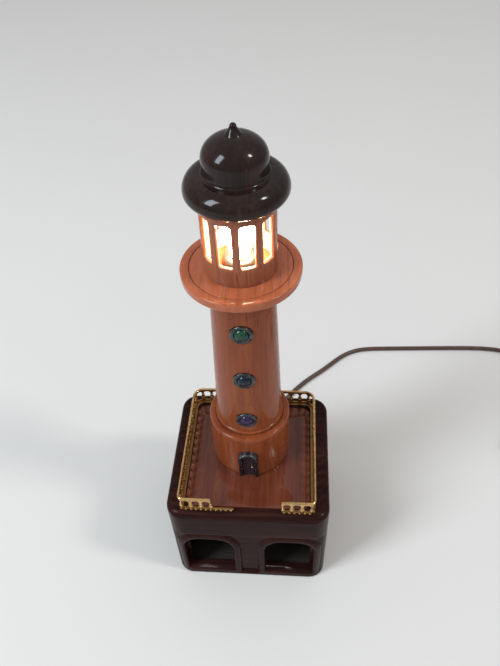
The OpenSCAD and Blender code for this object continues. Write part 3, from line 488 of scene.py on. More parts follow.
plywood, tree, shader = new_finish("birch_plywood")
figure = group_at(tree, grain, turned_place(tree, (0.0, math.radians(90), 0.0)), Fineness=210)
sheet = blended(tree, figure["Streaks"], (0.52, 0.36, 0.20, 1), (0.68, 0.50, 0.31, 1))
sheet = blended(tree, figure["Pores"], sheet, (0.30, 0.18, 0.09, 1))
stain = blended(tree, figure["Streaks"], (0.008, 0.005, 0.004, 1), (0.022, 0.012, 0.009, 1))
face_up = upright_part(tree, add_node(tree, "ShaderNodeTexCoord").outputs["Normal"])
feed(shader, {
    "Base Color": blended(tree, spread(tree, face_up, 0.3, 0.6), sheet, stain),
    "Roughness": spread(tree, figure["Streaks"], 0, 1, 0.55, 0.75),
    "Normal": bumped(tree, figure["Pores"], -0.08, 0.6),
})
dress("bottom_plate", plywood, 0.3)


def plain_metal(name, base, worn, roughness, streaks=900.0, depth=0.01):
    """Bare or plated metal, with fine turning marks and dulled places."""
    made, tree, shader = new_finish(name)
    place = object_place(tree)
    dull = spread(tree, noise(tree, place, 180.0, 5.0, 0.6, 0.8), 0.38, 0.68)
    feed(shader, {
        "Base Color": blended(tree, dull, (*base, 1), (*worn, 1)),
        "Roughness": spread(tree, dull, 0, 1, *roughness),
        "Normal": bumped(tree, noise(tree, place, streaks, 4.0, 0.6), depth, 0.5),
        "Metallic": 1.0,
    })
    return made


steel = plain_metal("zinc_plated_steel", (0.62, 0.62, 0.60), (0.42, 0.41, 0.38), (0.28, 0.46))
dress("plate_screws", steel, 0.12)

felt, tree, shader = new_finish("grey_felt")
fibres = noise(tree, object_place(tree), 1400.0, 5.0, 0.7, 2.0)
feed(shader, {
    "Base Color": blended(tree, fibres, (0.035, 0.035, 0.034, 1), (0.11, 0.105, 0.10, 1)),
    "Normal": bumped(tree, fibres, 0.35, 0.9),
    "Roughness": 0.95, "Sheen Weight": 0.5,
})
dress("felt_feet", felt, 0.35)

# ----------------------------------------------------------
# The deck panel.
# A thin board of red-brown wood, polished like a mirror and let into the top of the block.

deck_finish = lacquered(
    "deck_lacquer", (0.060, 0.013, 0.007), (0.105, 0.025, 0.012), (0.155, 0.042, 0.020),
    fineness=240, gloss=(0.10, 0.22), coat=1.0, lie=(math.radians(90), 0.0, 0.0),
)
dress("deck_panel", deck_finish, 0.5)

# ----------------------------------------------------------
# The gallery rail.
# Two lengths of thin brass strip, pierced with a row of round-headed gaps between little
# balusters. It has a round bead on top, pearls along its foot and a flange pinned to the block.


def rail_line(corners, spacing=0.5):
    """Points along the rail's outer face with their way outwards, from (x, y, radius) corners."""
    line = []
    for i, (x, y, radius) in enumerate(corners):
        here = Vector((x, y))
        if not radius:
            line.append(here)
            continue
        back = (Vector(corners[i - 1][:2]) - here).normalized()
        on = (Vector(corners[i + 1][:2]) - here).normalized()
        centre = here + radius * (back + on)
        for k in range(13):
            a = math.radians(90 * k / 12)
            line.append(centre - radius * (math.cos(a) * on + math.sin(a) * back))
    fine_line, lengths = [line[0]], [0.0]
    for a, b in zip(line, line[1:]):
        steps = max(1, round((b - a).length / spacing))
        for k in range(1, steps + 1):
            fine_line.append(a.lerp(b, k / steps))
            lengths.append(lengths[-1] + (b - a).length / steps)
    ways = []
    for i in range(len(fine_line)):
        along = fine_line[min(i + 1, len(fine_line) - 1)] - fine_line[max(i - 1, 0)]
        ways.append(Vector((-along.y, along.x)).normalized())
    return fine_line, lengths, ways


def on_line(line, u):
    """The point of a rail line at length u, and its way outwards."""
    points, lengths, ways = line
    u = max(0.0, min(u, lengths[-1]))
    high = min(bisect.bisect_right(lengths, u), len(lengths) - 1)
    low = high - 1
    t = (u - lengths[low]) / max(lengths[high] - lengths[low], 1e-9)
    return points[low].lerp(points[high], t), ways[low].lerp(ways[high], t).normalized()


def ray_to(outline, centre, direction):
    """Where a ray from the centre crosses a closed outline."""
    best = None
    for (ax, ay), (bx, by) in zip(outline, outline[1:] + outline[:1]):
        ex, ey = bx - ax, by - ay
        crossing = direction[0] * ey - direction[1] * ex
        if abs(crossing) < 1e-12:
            continue
        t = ((ax - centre[0]) * ey - (ay - centre[1]) * ex) / crossing
        s = ((ax - centre[0]) * direction[1] - (ay - centre[1]) * direction[0]) / crossing
        if t > 0 and -1e-9 <= s <= 1 + 1e-9 and (best is None or t > best):
            best = t
    return centre[0] + best * direction[0], centre[1] + best * direction[1]


def pierced_cell(width, height, opening, across=8, up=14, rings=3):
    """Points and faces of a flat rectangle from (0, 0) with one opening, in rings round it."""
    low, high = min(y for x, y in opening), max(y for x, y in opening)
    centre = (sum(x for x, y in opening) / len(opening), (low + high) / 2)
    border = [(width * k / across, 0.0) for k in range(across)]
    border += [(width, height * k / up) for k in range(up)]
    border += [(width * (1 - k / across), height) for k in range(across)]
    border += [(0.0, height * (1 - k / up)) for k in range(up)]
    ways = [Vector((x - centre[0], y - centre[1])).normalized() for x, y in border]
    hole = [ray_to(opening, centre, way) for way in ways]
    points = [
        (h[0] + (b[0] - h[0]) * r / rings, h[1] + (b[1] - h[1]) * r / rings)
        for r in range(rings + 1)
        for h, b in zip(hole, border)
    ]
    return points, bridged(rings + 1, len(border))


def thicken(piece, thickness, middle=(0, 0)):
    """Gives a sheet that stands round a middle its thickness, inwards from its outer face."""
    face = piece.data.polygons[0]
    looks_in = face.normal.to_2d().dot(face.center.to_2d() - Vector(middle) * MM) < 0
    thick = piece.modifiers.new("thick", "SOLIDIFY")
    thick.thickness, thick.offset = thickness * MM, 1.0 if looks_in else -1.0


def swept(line, section, start=0.0, end=None, spacing=0.8):
    """A closed section of (inwards, height) points swept along a rail line, as points and faces."""
    end = line[1][-1] if end is None else end
    steps = max(2, round((end - start) / spacing))
    rings = []
    for i in range(steps + 1):
        point, way = on_line(line, start + (end - start) * i / steps)
        rings.append([(point.x - way.x * u, point.y - way.y * u, height) for u, height in section])
    return stacked(rings)


def joined(*parts):
    """Several (points, faces) as one."""
    points, faces = [], []
    for more_points, more_faces in parts:
        first = len(points)
        points += [tuple(p) for p in more_points]
        faces += [tuple(first + i for i in face) for face in more_faces]
    return points, faces


def side_by_side(cell, count, width, place):
    """A cell laid count times in a row, with each of its points put in its place."""
    points, faces = cell
    return joined(*(([place(i * width + u, v) for u, v in points], faces) for i in range(count)))


def circle(middle, radius, steps):
    """Points round a circle, anticlockwise from its right side."""
    turns = [2 * math.pi * k / steps for k in range(steps)]
    return [(middle[0] + radius * math.cos(a), middle[1] + radius * math.sin(a)) for a in turns]


def boss(centre, way, radius, rise, sides=10):
    """A small domed stud on an upright face that looks along way, as points and faces."""
    side = Vector((-way[1], way[0], 0))
    out = Vector((way[0], way[1], 0))
    rings = []
    for t in (-0.6, 0.0, 0.35, 0.7, 0.92, 1.0):
        r = radius * math.sqrt(max(0.0, 1 - max(t, 0) ** 2)) if t < 1 else 0.02
        middle = Vector(centre) + out * (t * rise)
        rim = circle((0, 0), r, sides)
        rings.append([tuple(middle + side * x + Vector((0, 0, z))) for x, z in rim])
    return stacked(rings)


deck_z, rail_h, rail_t, bead_r = 124, 20, 1.0, 1.2
rail_gap, rail_pitch, rail_foot, rail_shoulder, rail_peak = 6.4, 9.3, 3.6, 12.2, 16.0
pearl_pitch, pearl_r, pearl_rise, pearl_z = 4.65, 1.35, 0.9, deck_z + 1.5
belly_r, belly_rise, belly_z = 1.75, 0.8, deck_z + rail_foot + 2.4
ring_r, ring_rise, ring_z = 0.85, 0.55, deck_z + rail_foot + 7.0
end_margin = 1.2
gap_outline = [
    (0.9, -0.8), (0.92, 0), (0.72, 1.3), (0.66, 2.6),
    (0.74, 4.2), (0.96, 6.0), (0.9, 6.8), (1.08, 7.6),
]


def rail_opening(width):
    """The gap between two balusters, with a round-headed arch over it."""
    half, arch_rise = rail_gap / 2, rail_peak - rail_shoulder
    side = [(half * share, rail_foot + height) for share, height in gap_outline]
    for k in range(7):
        x = 1.12 * half * math.cos(math.radians(80 * k / 6)) ** 0.7
        side.append((x, rail_shoulder + arch_rise * math.sin(math.radians(90 * k / 6))))
    side.append((0.0, rail_peak + 0.3))
    right, left = [(width / 2 + x, y) for x, y in side], [(width / 2 - x, y) for x, y in side[:-1]]
    return right + left[::-1]


def pierced_strip(name, line, low_tail, cells, width):
    """The rail's upright strip, as points and faces."""
    def place(u, v):
        point = on_line(line, low_tail + u)[0]
        return point.x, point.y, deck_z + v

    cell = pierced_cell(width, rail_h - bead_r, rail_opening(width))
    strip = in_scene("strip", as_mesh(name + "_strip", *side_by_side(cell, cells, width, place)))
    thicken(strip, rail_t)
    solid = worked(strip)
    bpy.data.objects.remove(strip)
    return [tuple(v.co / MM) for v in solid.vertices], [tuple(p.vertices) for p in solid.polygons]


def rail_part(name, corners, node, low_tail=0.0):
    """One length of the rail. A low tail is foot strip alone, before the balusters start."""
    line = rail_line(corners)
    length = line[1][-1]
    cells = round((length - low_tail) / rail_pitch)
    width = (length - low_tail) / cells
    bead = arc(rail_t / 2, deck_z + rail_h - bead_r, bead_r, bead_r, 0, 330, 11)
    flange = [(0.9, 0.02), (3.5, 0.02), (3.6, 0.3), (3.5, 0.7), (0.9, 0.9)]
    parts = [
        pierced_strip(name, line, low_tail, cells, width),
        swept(line, bead, low_tail),
        swept(line, [(u, deck_z + v) for u, v in flange]),
    ]
    if low_tail:
        low, high = deck_z + 0.02, deck_z + rail_foot
        sides = [(0.0, low), (rail_t, low), (rail_t, high - 0.2)]
        top = [(rail_t / 2, high), (0.0, high - 0.2)]
        parts.append(swept(line, sides + top, 0.0, low_tail + 0.2))
    pearls = round(length / pearl_pitch)
    for k in range(pearls):
        point, way = on_line(line, length * (k + 0.5) / pearls)
        parts.append(boss((point.x, point.y, pearl_z), way, pearl_r, pearl_rise))
    for i in range(cells + 1):
        u = max(end_margin, min(low_tail + i * width, length - end_margin))
        point, way = on_line(line, u)
        for side in (1, -1):
            face = point if side > 0 else point - way * rail_t
            parts.append(boss((face.x, face.y, belly_z), side * way, belly_r, belly_rise))
            parts.append(boss((face.x, face.y, ring_z), side * way, ring_r, ring_rise))
    return put(as_mesh(name, *joined(*parts)), brass, stands_for=[node])


brass, tree, shader = new_finish("polished_brass")
place = object_place(tree)
tarnish = spread(tree, noise(tree, place, 260.0, 6.0, 0.65, 0.6), 0.42, 0.72)
# Painted shade: the brass darkens by height towards the rail's foot, standing in for the shade down
# by the deck.
painted_foot_shade = spread(tree, upright_part(tree, place), 0.126, 0.137, 0.92, 0.0)
# Real tarnish from the noise and the painted shade at the foot share one dark brown.
tarnish_and_foot_shade = add_node(tree, "ShaderNodeMath", {0: tarnish, 1: painted_foot_shade}, operation="MAXIMUM").outputs[0]
bright = blended(tree, noise(tree, place, 900.0, 2.0), (0.74, 0.46, 0.185, 1), (0.83, 0.55, 0.24, 1))
feed(shader, {
    "Base Color": blended(tree, tarnish_and_foot_shade, bright, (0.27, 0.145, 0.052, 1)),
    "Roughness": spread(tree, tarnish_and_foot_shade, 0, 1, 0.17, 0.42),
    "Normal": bumped(tree, noise(tree, place, 1500.0, 3.0), 0.012, 0.5),
    "Metallic": 1.0,
})

rail_x, rail_front, rail_back, front_r, back_r = 62, -65, 62, 4, 10
left_end, right_end, left_joint, right_joint, bare_foot = -12, 32, 37.87, 38.27, 20.0
rail_part("rail_left_pierced", [
    (left_end, rail_front, 0), (-rail_x, rail_front, front_r), (-rail_x, left_joint, 0),
], "rail_left", bare_foot)
rail_part("rail_right_pierced", [
    (-rail_x, right_joint, 0), (-rail_x, rail_back, back_r), (rail_x, rail_back, back_r),
    (rail_x, rail_front, front_r), (right_end, rail_front, 0),
], "rail_right")
dress("rail_pins", brass, 0.15)

# ----------------------------------------------------------
# The collar.
# A thick turned ring of red-brown wood that the tower stands in, glued to the deck. Its shoulder
# is well rounded, and a flat-backed niche is cut in its front for the door.


def eased_outline(corners):
    """A closed outline with each (x, y, radius) corner rounded by its own radius."""
    out = []
    for i, (x, y, radius) in enumerate(corners):
        here = Vector((x, y))
        if not radius:
            out.append((x, y))
            continue
        back = Vector(corners[i - 1][:2]) - here
        on = Vector(corners[(i + 1) % len(corners)][:2]) - here
        half = back.angle(on) / 2
        cut = min(radius / math.tan(half), 0.49 * back.length, 0.49 * on.length)
        r = cut * math.tan(half)
        start, end = here + back.normalized() * cut, here + on.normalized() * cut
        centre = here + (back.normalized() + on.normalized()).normalized() * r / math.sin(half)
        a0 = math.atan2(start.y - centre.y, start.x - centre.x)
        a1 = math.atan2(end.y - centre.y, end.x - centre.x)
        sweep = (a1 - a0 + math.pi) % (2 * math.pi) - math.pi
        steps = max(3, math.ceil(abs(sweep) * (r + 1) / 0.9))
        angles = [a0 + sweep * k / steps for k in range(steps + 1)]
        out += [(centre.x + r * math.cos(a), centre.y + r * math.sin(a)) for a in angles]
    return out


def turned(name, outline, steps=128, length=None):
    """A closed outline of (radius, height), turned on the lathe about the tower's axis."""
    if length:
        split = []
        for (ax, ay), (bx, by) in zip(outline, outline[1:] + outline[:1]):
            count = max(1, math.ceil(math.hypot(bx - ax, by - ay) / length))
            split += [(ax + (bx - ax) * k / count, ay + (by - ay) * k / count) for k in range(count)]
        outline = split
    points, faces, starts = [], [], []
    for r, z in outline:
        on_axis = r < 1e-6
        starts.append((len(points), on_axis))
        ring = [(0.0, tower_y)] if on_axis else circle((0.0, tower_y), r, steps)
        points += [(x, y, z) for x, y in ring]
    for (a, a_point), (b, b_point) in zip(starts, starts[1:] + starts[:1]):
        if a_point and b_point:
            continue
        for k in range(steps):
            n = (k + 1) % steps
            if a_point:
                faces.append((a, b + k, b + n))
            elif b_point:
                faces.append((a + k, b, a + n))
            else:
                faces.append((a + k, b + k, b + n, a + n))
    return as_mesh(name, points, faces)


tower_finish = lacquered(
    "tower_lacquer", (0.150, 0.033, 0.011), (0.212, 0.051, 0.018), (0.275, 0.074, 0.028),
    fineness=300, swirl=0.9, gloss=(0.22, 0.36), coat=0.4, pore_depth=0.015, ripple_depth=0.01,
)
collar_z, collar_top, collar_r, socket_z = 125, 182, 37, 166.9
bore_r, socket_r, sunk_z = 5.3, 20.1, collar_top - 0.5
door_back, door_half, door_h, before_all = -24.0, 9.0, 40.0, -60
collar_outline = eased_outline([
    (bore_r, collar_z, 0), (collar_r, collar_z, 0.8), (collar_r, collar_top, 6),
    (31.6, collar_top, 0.6), (31.2, sunk_z, 0), (socket_r, sunk_z, 0), (socket_r, socket_z, 0),
    (bore_r, socket_z, 0),
])
niche = arch_outline(0, door_half + 0.1, collar_z - 2, collar_z + door_h + 0.1, door_half + 0.09)
niche_cutter = level_prism("niche", niche, before_all, door_back)
collar_mesh = carve(turned("collar_turned", collar_outline, length=3.5), [niche_cutter])
put(collar_mesh, tower_finish, stands_for=["collar"])

# ----------------------------------------------------------
# The door.
# A cast pewter frame with a round head and a hood that stands out over it. Behind it is a dark
# enamelled leaf of three boards with a small brass knob.


def arch_band(half, height, foot, section, back, start=0, end=None, steps=18):
    """A section of (outwards, forwards) points swept up, over and down a round-headed arch."""
    shoulder, middle = foot + (height - half) * 0.5, foot + height - half
    spine = [((-half, foot), (-1, 0)), ((-half, shoulder), (-1, 0))]
    for k in range(steps + 1):
        a = math.pi * (1 - k / steps)
        spine.append(((half * math.cos(a), middle + half * math.sin(a)), (math.cos(a), math.sin(a))))
    spine += [((half, shoulder), (1, 0)), ((half, foot), (1, 0))]
    return stacked([
        [(x + wx * out, back - forward, z + wz * out) for out, forward in section]
        for (x, z), (wx, wz) in spine[start:end]
    ])


pewter = plain_metal(
    "cast_pewter", (0.115, 0.135, 0.14), (0.045, 0.05, 0.055), (0.24, 0.45), 420.0, 0.05,
)
jamb = eased_outline([
    (-3.4, 0, 0), (0, 0, 0), (0, 4.2, 1.0), (-0.9, 5.0, 0.5), (-2.3, 5.0, 0.6), (-3.4, 3.6, 0.7),
])
hood = eased_outline([
    (-3.4, 4.6, 0), (0, 4.0, 0), (0, 7.0, 0.9), (-1.0, 8.0, 0.6), (-2.6, 7.6, 0.8), (-3.4, 6.2, 0.6),
])
door_foot = collar_z + 0.02
frame_parts = [
    arch_band(door_half, door_h, door_foot, jamb, door_back),
    arch_band(door_half, door_h, door_foot, hood, door_back, 2, -2),
]
bracket_x, bracket_top = 7.3, collar_z + door_h - door_half
bracket_plan = [(9.0, 8.0), (9.0, 3.8), (5.6, 3.8), (5.6, 8.0)]
for side in (-1, 1):
    rings = []
    for drop, inset in ((0.0, 0.0), (1.2, 0.1), (2.6, 0.9), (3.6, 2.0)):
        ring = []
        for x, reach in bracket_plan:
            narrowed = side * (bracket_x + (x - bracket_x) * (1 - inset / 4))
            shortened = reach if reach < 5 else reach * (1 - 0.09 * inset)
            ring.append((narrowed, door_back - shortened, bracket_top - drop))
        rings.append(ring)
    frame_parts.append(stacked(rings))
frame_mesh = as_mesh("door_frame_cast", *joined(*frame_parts))
put(frame_mesh, pewter, stands_for=["door_frame"], crisp=45)

leaf_finish, tree, shader = new_finish("door_enamel")
place = object_place(tree)
figure = group_at(tree, grain, place, Fineness=600)
feed(shader, {
    "Base Color": blended(tree, figure["Streaks"], (0.006, 0.008, 0.014, 1), (0.018, 0.022, 0.04, 1)),
    "Roughness": spread(tree, noise(tree, place, 400.0), 0.3, 0.7, 0.15, 0.3),
    "Normal": bumped(tree, figure["Streaks"], 0.06, 0.6),
    "Coat Weight": 0.6,
})
leaf_half, leaf_h, leaf_foot, boards, board_gap = 5.35, 36.3, collar_z + 0.05, 3, 0.24
leaf_front, leaf_back, board_back = door_back - 0.05, door_back - 1.7, door_back - 2.2
board_w = 2 * leaf_half / boards


def between_faces(outline, back):
    """A part of the leaf with an outline in X and Z, as points and faces."""
    return stacked([[(x, y, z) for x, z in outline] for y in (leaf_front, back)])


leaf_parts = []
for board in range(boards):
    x0 = -leaf_half + board * board_w + board_gap / 2
    x1 = -leaf_half + (board + 1) * board_w - board_gap / 2
    outline = [(x0, leaf_foot), (x1, leaf_foot)]
    for k in range(7):
        x = x1 + (x0 - x1) * k / 6
        rise = math.sqrt(max(0.0, leaf_half ** 2 - x ** 2))
        outline.append((x, collar_z + leaf_h - leaf_half + rise))
    leaf_parts.append(between_faces(outline, board_back))
backing = arch_outline(0, leaf_half, leaf_foot, collar_z + leaf_h, leaf_half - 0.01)
leaf_parts.append(between_faces(backing, leaf_back))
leaf_mesh = as_mesh("door_leaf_boards", *joined(*leaf_parts))
put(leaf_mesh, leaf_finish, stands_for=["door_leaf"], crisp=30, eased=0.15)


def facing_front(outline, centre_y, z, steps=64, x=0.0):
    """An outline of (radius, forwards) turned about a level axis, as points and faces."""
    count, turns = len(outline), [2 * math.pi * k / steps for k in range(steps)]
    points = [
        (x + r * math.cos(a), centre_y - f, z + r * math.sin(a)) for a in turns for r, f in outline
    ]
    faces = []
    for i in range(steps):
        here, there = i * count, (i + 1) % steps * count
        for j in range(count):
            n = (j + 1) % count
            faces.append((here + j, there + j, there + n, here + n))
    return points, faces


knob_outline = eased_outline([
    (0.02, -0.2, 0), (0.75, -0.2, 0), (0.55, 0.8, 0.3), (1.2, 1.2, 0.3), (1.2, 1.9, 0.5),
    (0.02, 2.3, 0),
])
knob_x, knob_z = 3.4, collar_z + 15
knob_mesh = as_mesh("door_knob", *facing_front(knob_outline, board_back, knob_z, 24, knob_x))
put(knob_mesh, brass)

# ----------------------------------------------------------
# The tower.
# A tapered shaft turned from one piece of the same wood, with a bead at its foot. It is bored
# through for the lead, counterbored for the lampholder, and recessed for the three portholes.

shaft_foot_r, shaft_head_r, tenon_r = 30, 25.2, 20.0
shaft_foot_z, shaft_head_z, tenon_foot_z, tenon_head_z = 182.0, 342, 167.0, 351.0
holder_bore_r, holder_bore_z = 13.6, 320.5
porthole_z = [203, 255, 307]
pocket_r, pocket_depth = 9.25, 2.2


def shaft_radius(z):
    share = (z - shaft_foot_z) / (shaft_head_z - shaft_foot_z)
    return shaft_foot_r + (shaft_head_r - shaft_foot_r) * share


shaft_outline = [
    (bore_r, tenon_foot_z), (tenon_r, tenon_foot_z), (tenon_r, shaft_foot_z), (30.2, shaft_foot_z),
    *arc(29.0, 184.0, 2.0, 2.0, -65, 65, 12), (29.86, 186.2), (shaft_head_r, shaft_head_z),
    (tenon_r, shaft_head_z), (tenon_r, tenon_head_z), (holder_bore_r, tenon_head_z),
    (holder_bore_r, holder_bore_z), (bore_r, holder_bore_z),
]
pockets = []
for z in porthole_z:
    pocket_back = tower_y - shaft_radius(z) + pocket_depth
    pockets.append(level_prism("pocket", circle((0, z), pocket_r, 64), before_all, pocket_back))
shaft_mesh = carve(turned("tower_turned", shaft_outline, length=4.0), pockets)
put(shaft_mesh, tower_finish, stands_for=["tower_shaft"])

# ----------------------------------------------------------
# The portholes.
# Three cast rings, each with a domed glass behind its lip: green at the top, blue-black in the
# middle and violet below. They are pressed into the shaft's pockets.

gunmetal = plain_metal(
    "gunmetal", (0.10, 0.115, 0.118), (0.035, 0.038, 0.04), (0.2, 0.42), 700.0, 0.03,
)


def cabochon(name, deep, bright, rim):
    """Coloured glass, clouded at random, with painted shade darkening it towards its edge."""
    made, tree, shader = new_finish(name)
    place = object_place(tree)
    swirl = noise(tree, place, 260.0, 3.0, 0.5, 2.5)
    ramp = add_node(tree, "ShaderNodeValToRGB", {"Fac": swirl})
    ramp.color_ramp.elements[0].position, ramp.color_ramp.elements[1].position = 0.36, 0.66
    ramp.color_ramp.elements[0].color, ramp.color_ramp.elements[1].color = (*deep, 1), (*bright, 1)
    # Painted shade: the glass turns to the dark rim colour where its face turns away from the view.
    edge = add_node(tree, "ShaderNodeLayerWeight", {"Blend": 0.35}).outputs["Facing"]
    feed(shader, {
        "Base Color": blended(tree, edge, ramp.outputs["Color"], (*rim, 1)),
        "Roughness": spread(tree, swirl, 0.3, 0.7, 0.03, 0.1),
        "Normal": bumped(tree, noise(tree, place, 500.0, 1.0), 0.02, 0.4),
        "Specular IOR Level": 0.2, "Coat Weight": 0.35, "Coat Roughness": 0.02,
    })
    return made


# Each glass has a deep and a bright colour, clouded at random, and a dark rim colour that is painted
# shade.
glasses = [
    ("bottom", "violet_glass", (0.010, 0.003, 0.024), (0.055, 0.018, 0.105), (0.006, 0.003, 0.012)),
    ("middle", "blue_glass", (0.0015, 0.003, 0.007), (0.005, 0.015, 0.032), (0.002, 0.004, 0.007)),
    ("top", "green_glass", (0.002, 0.017, 0.010), (0.013, 0.095, 0.048), (0.002, 0.010, 0.007)),
]
ring_outline = eased_outline([
    (6.0, -0.3, 0), (7.0, -0.3, 0), (7.0, -2.15, 0), (9.15, -2.15, 0), (9.15, 0.9, 0.8),
    (8.1, 1.45, 0.6), (7.3, 0.8, 0.4), (6.6, 1.1, 0.4), (6.0, 0.7, 0.3),
])
stud_count, stud_at, stud_r, stud_rise, stud_face = 8, 8.05, 0.55, 0.42, 1.35
lens_r, lens_bulge, lens_edge = 5.9, 4.2, 0.35
lens_outline = [(0.02, -2.1), (6.9, -2.1), (6.9, -0.45), (5.92, -0.45)]
lens_outline += arc(0.02, -lens_edge, lens_r, lens_bulge, 0, 90, 10)
for (level_name, slot, *colours), z in zip(glasses, porthole_z):
    face_y = tower_y - shaft_radius(z)
    ring_parts = [facing_front(ring_outline, face_y, z)]
    for k in range(stud_count):
        a = 2 * math.pi * (k + 0.5) / stud_count
        stud = (stud_at * math.cos(a), face_y - stud_face, z + stud_at * math.sin(a))
        ring_parts.append(boss(stud, (0, -1), stud_r, stud_rise))
    ring_mesh = as_mesh(f"porthole_ring_{level_name}_cast", *joined(*ring_parts))
    put(ring_mesh, gunmetal, stands_for=[f"porthole_ring_{level_name}"])
    glass_mesh = as_mesh(f"porthole_glass_{level_name}", *facing_front(lens_outline, face_y, z))
    glass = cabochon(slot, *colours)
    put(glass_mesh, glass, stands_for=[f"porthole_lens_{level_name}"])

# ----------------------------------------------------------
# The gallery.
# A turned ring with a coved underside and a flat, eased rim, glued on the head of the shaft. A
# disc is let into its top, and the joint between them shows as a fine dark groove.

gallery_finish = lacquered(
    "gallery_lacquer", (0.28, 0.070, 0.028), (0.37, 0.102, 0.043), (0.45, 0.138, 0.062),
    fineness=230, swirl=0.9, gloss=(0.2, 0.34), coat=0.75, lie=(math.radians(90), 0.0, 0.3),
)
gallery_z, gallery_r, groove_r = 342, 45, 38.4
gallery_top, seat_z = gallery_z + 13, gallery_z + 9
gallery_outline = eased_outline([
    (socket_r, gallery_z, 0), (26.2, gallery_z, 0.5), (28.7, gallery_z + 1.6, 1.2),
    (30.2, gallery_z + 3.2, 1.2), (39, gallery_z + 5, 1.5), (gallery_r, gallery_z + 5.2, 2.2),
    (gallery_r, gallery_top, 1.0), (groove_r, gallery_top, 0.4), (groove_r, seat_z, 0),
    (socket_r, seat_z, 0),
])
gallery_mesh = turned("gallery_ring_turned", gallery_outline)
put(gallery_mesh, gallery_finish, stands_for=["gallery_ring"])
disc_hole_r, disc_r, disc_z = 13.7, 38.0, seat_z + 0.02
disc_outline = eased_outline([
    (disc_hole_r, disc_z, 0), (disc_r, disc_z, 0), (disc_r, gallery_top, 0.4),
    (disc_hole_r, gallery_top, 0.3),
])
disc_mesh = turned("gallery_disc_turned", disc_outline)
put(disc_mesh, gallery_finish, stands_for=["gallery_disc"])

# ----------------------------------------------------------
# The lampholder and the tube that clamps it.
# A threaded steel tube runs from under the block's top up the bore to the lampholder, with a nut
# and washer at its foot. The black lampholder has a brass screw sleeve and a sprung contact.


def threaded(radius, depth, pitch, low, high, bore=None, steps=48, per_turn=8):
    """A rod with a screw thread cut in it, or with a bore a screwed pipe."""
    rows = max(2, round((high - low) / pitch * per_turn))
    axis, turns = (0.0, tower_y), [2 * math.pi * k / steps for k in range(steps)]
    rings = []
    for i in range(rows + 1):
        z = low + (high - low) * i / rows
        fade = min(1.0, (z - low) / pitch, (high - z) / pitch)
        ring = []
        for k, a in enumerate(turns):
            phase = z / pitch - k / steps
            r = radius - depth * (0.5 - 0.5 * math.cos(2 * math.pi * phase)) * fade
            ring.append((axis[0] + r * math.cos(a), axis[1] + r * math.sin(a), z))
        rings.append(ring)
    points, faces = stacked(rings)
    if bore:
        faces = faces[:-2]
        top, inner = rows * steps, len(points)
        inner_top = inner + steps
        points += [(x, y, z) for z in (low, high) for x, y in circle(axis, bore, steps)]
        for k in range(steps):
            n = (k + 1) % steps
            faces.append((inner + k, inner + n, n, k))
            faces.append((top + k, top + n, inner_top + n, inner_top + k))
            faces.append((inner_top + k, inner_top + n, inner + n, inner + k))
    return points, faces


tube_r, tube_bore_r, tube_thread, tube_pitch, tube_foot, tube_head = 4.99, 3.5, 0.45, 1.5, 102, 330
tube = threaded(tube_r, tube_thread, tube_pitch, tube_foot, tube_head, tube_bore_r, 32, 4)
put(as_mesh("threaded_tube_cut", *tube), steel, stands_for=["threaded_tube"], crisp=60)
dress("tube_nut", plain_metal("nut_brass", (0.80, 0.55, 0.25), (0.45, 0.28, 0.11), (0.25, 0.45)), 0.3)
dress("tube_washer", steel, 0.15)
dress("holder_washer", steel, 0.15)


def moulded(name, colour, shine, grainy=0.02, roughness=(0.3, 0.45)):
    """Moulded plastic with a faint texture and handled, shinier places."""
    made, tree, shader = new_finish(name)
    place = object_place(tree)
    smears = group_at(tree, polish, place, Size=90.0)["Smears"]
    feed(shader, {
        "Base Color": blended(tree, smears, (*colour, 1), (*shine, 1)),
        "Roughness": spread(tree, smears, 0, 1, *roughness),
        "Normal": bumped(tree, noise(tree, place, 2600.0, 2.0), grainy, 0.5),
    })
    return made


black_plastic = moulded("black_bakelite", (0.018, 0.0165, 0.015), (0.030, 0.028, 0.026))
dress("lampholder_body", black_plastic, 0.3)
sleeve_brass = plain_metal("sleeve_brass", (0.83, 0.58, 0.26), (0.5, 0.32, 0.13), (0.22, 0.4))
dress("lampholder_sleeve", sleeve_brass, 0.1)
dress("centre_contact", sleeve_brass, 0.1)

# ----------------------------------------------------------
# The lead inside the lamp, and its strain relief.
# The brown round flex comes in low at the back, bends up and climbs the threaded tube. A black
# ribbed relief grips it where it leaves the block.

sheath, tree, shader = new_finish("brown_flex")
place = object_place(tree)
scuffs = spread(tree, noise(tree, place, 220.0, 5.0, 0.6, 1.0), 0.4, 0.7)
feed(shader, {
    "Base Color": blended(tree, scuffs, (0.050, 0.020, 0.011, 1), (0.085, 0.040, 0.024, 1)),
    "Roughness": spread(tree, scuffs, 0, 1, 0.34, 0.52),
    "Normal": bumped(tree, noise(tree, place, 1900.0, 2.0), 0.02, 0.5),
})

flex_d, exit_y, exit_z = 5.5, 71, 11


def smooth_route(route, parts=4):
    """A route of points in millimetres, drawn as one smooth curve through all of them."""
    points = [Vector(p) for p in route]
    out = []
    for i in range(len(points) - 1):
        a, b = points[i], points[i + 1]
        before, after = points[max(i - 1, 0)], points[min(i + 2, len(points) - 1)]
        reach = (b - a).length / 3
        leave = (b - before).normalized() if i else (b - a).normalized()
        meet = (after - a).normalized() if i + 2 < len(points) else (b - a).normalized()
        p1, p2 = a + leave * reach, b - meet * reach
        for k in range(parts):
            t, u = k / parts, 1 - k / parts
            out.append(u ** 3 * a + 3 * u ** 2 * t * p1 + 3 * u * t * t * p2 + t ** 3 * b)
    return out + [points[-1]]


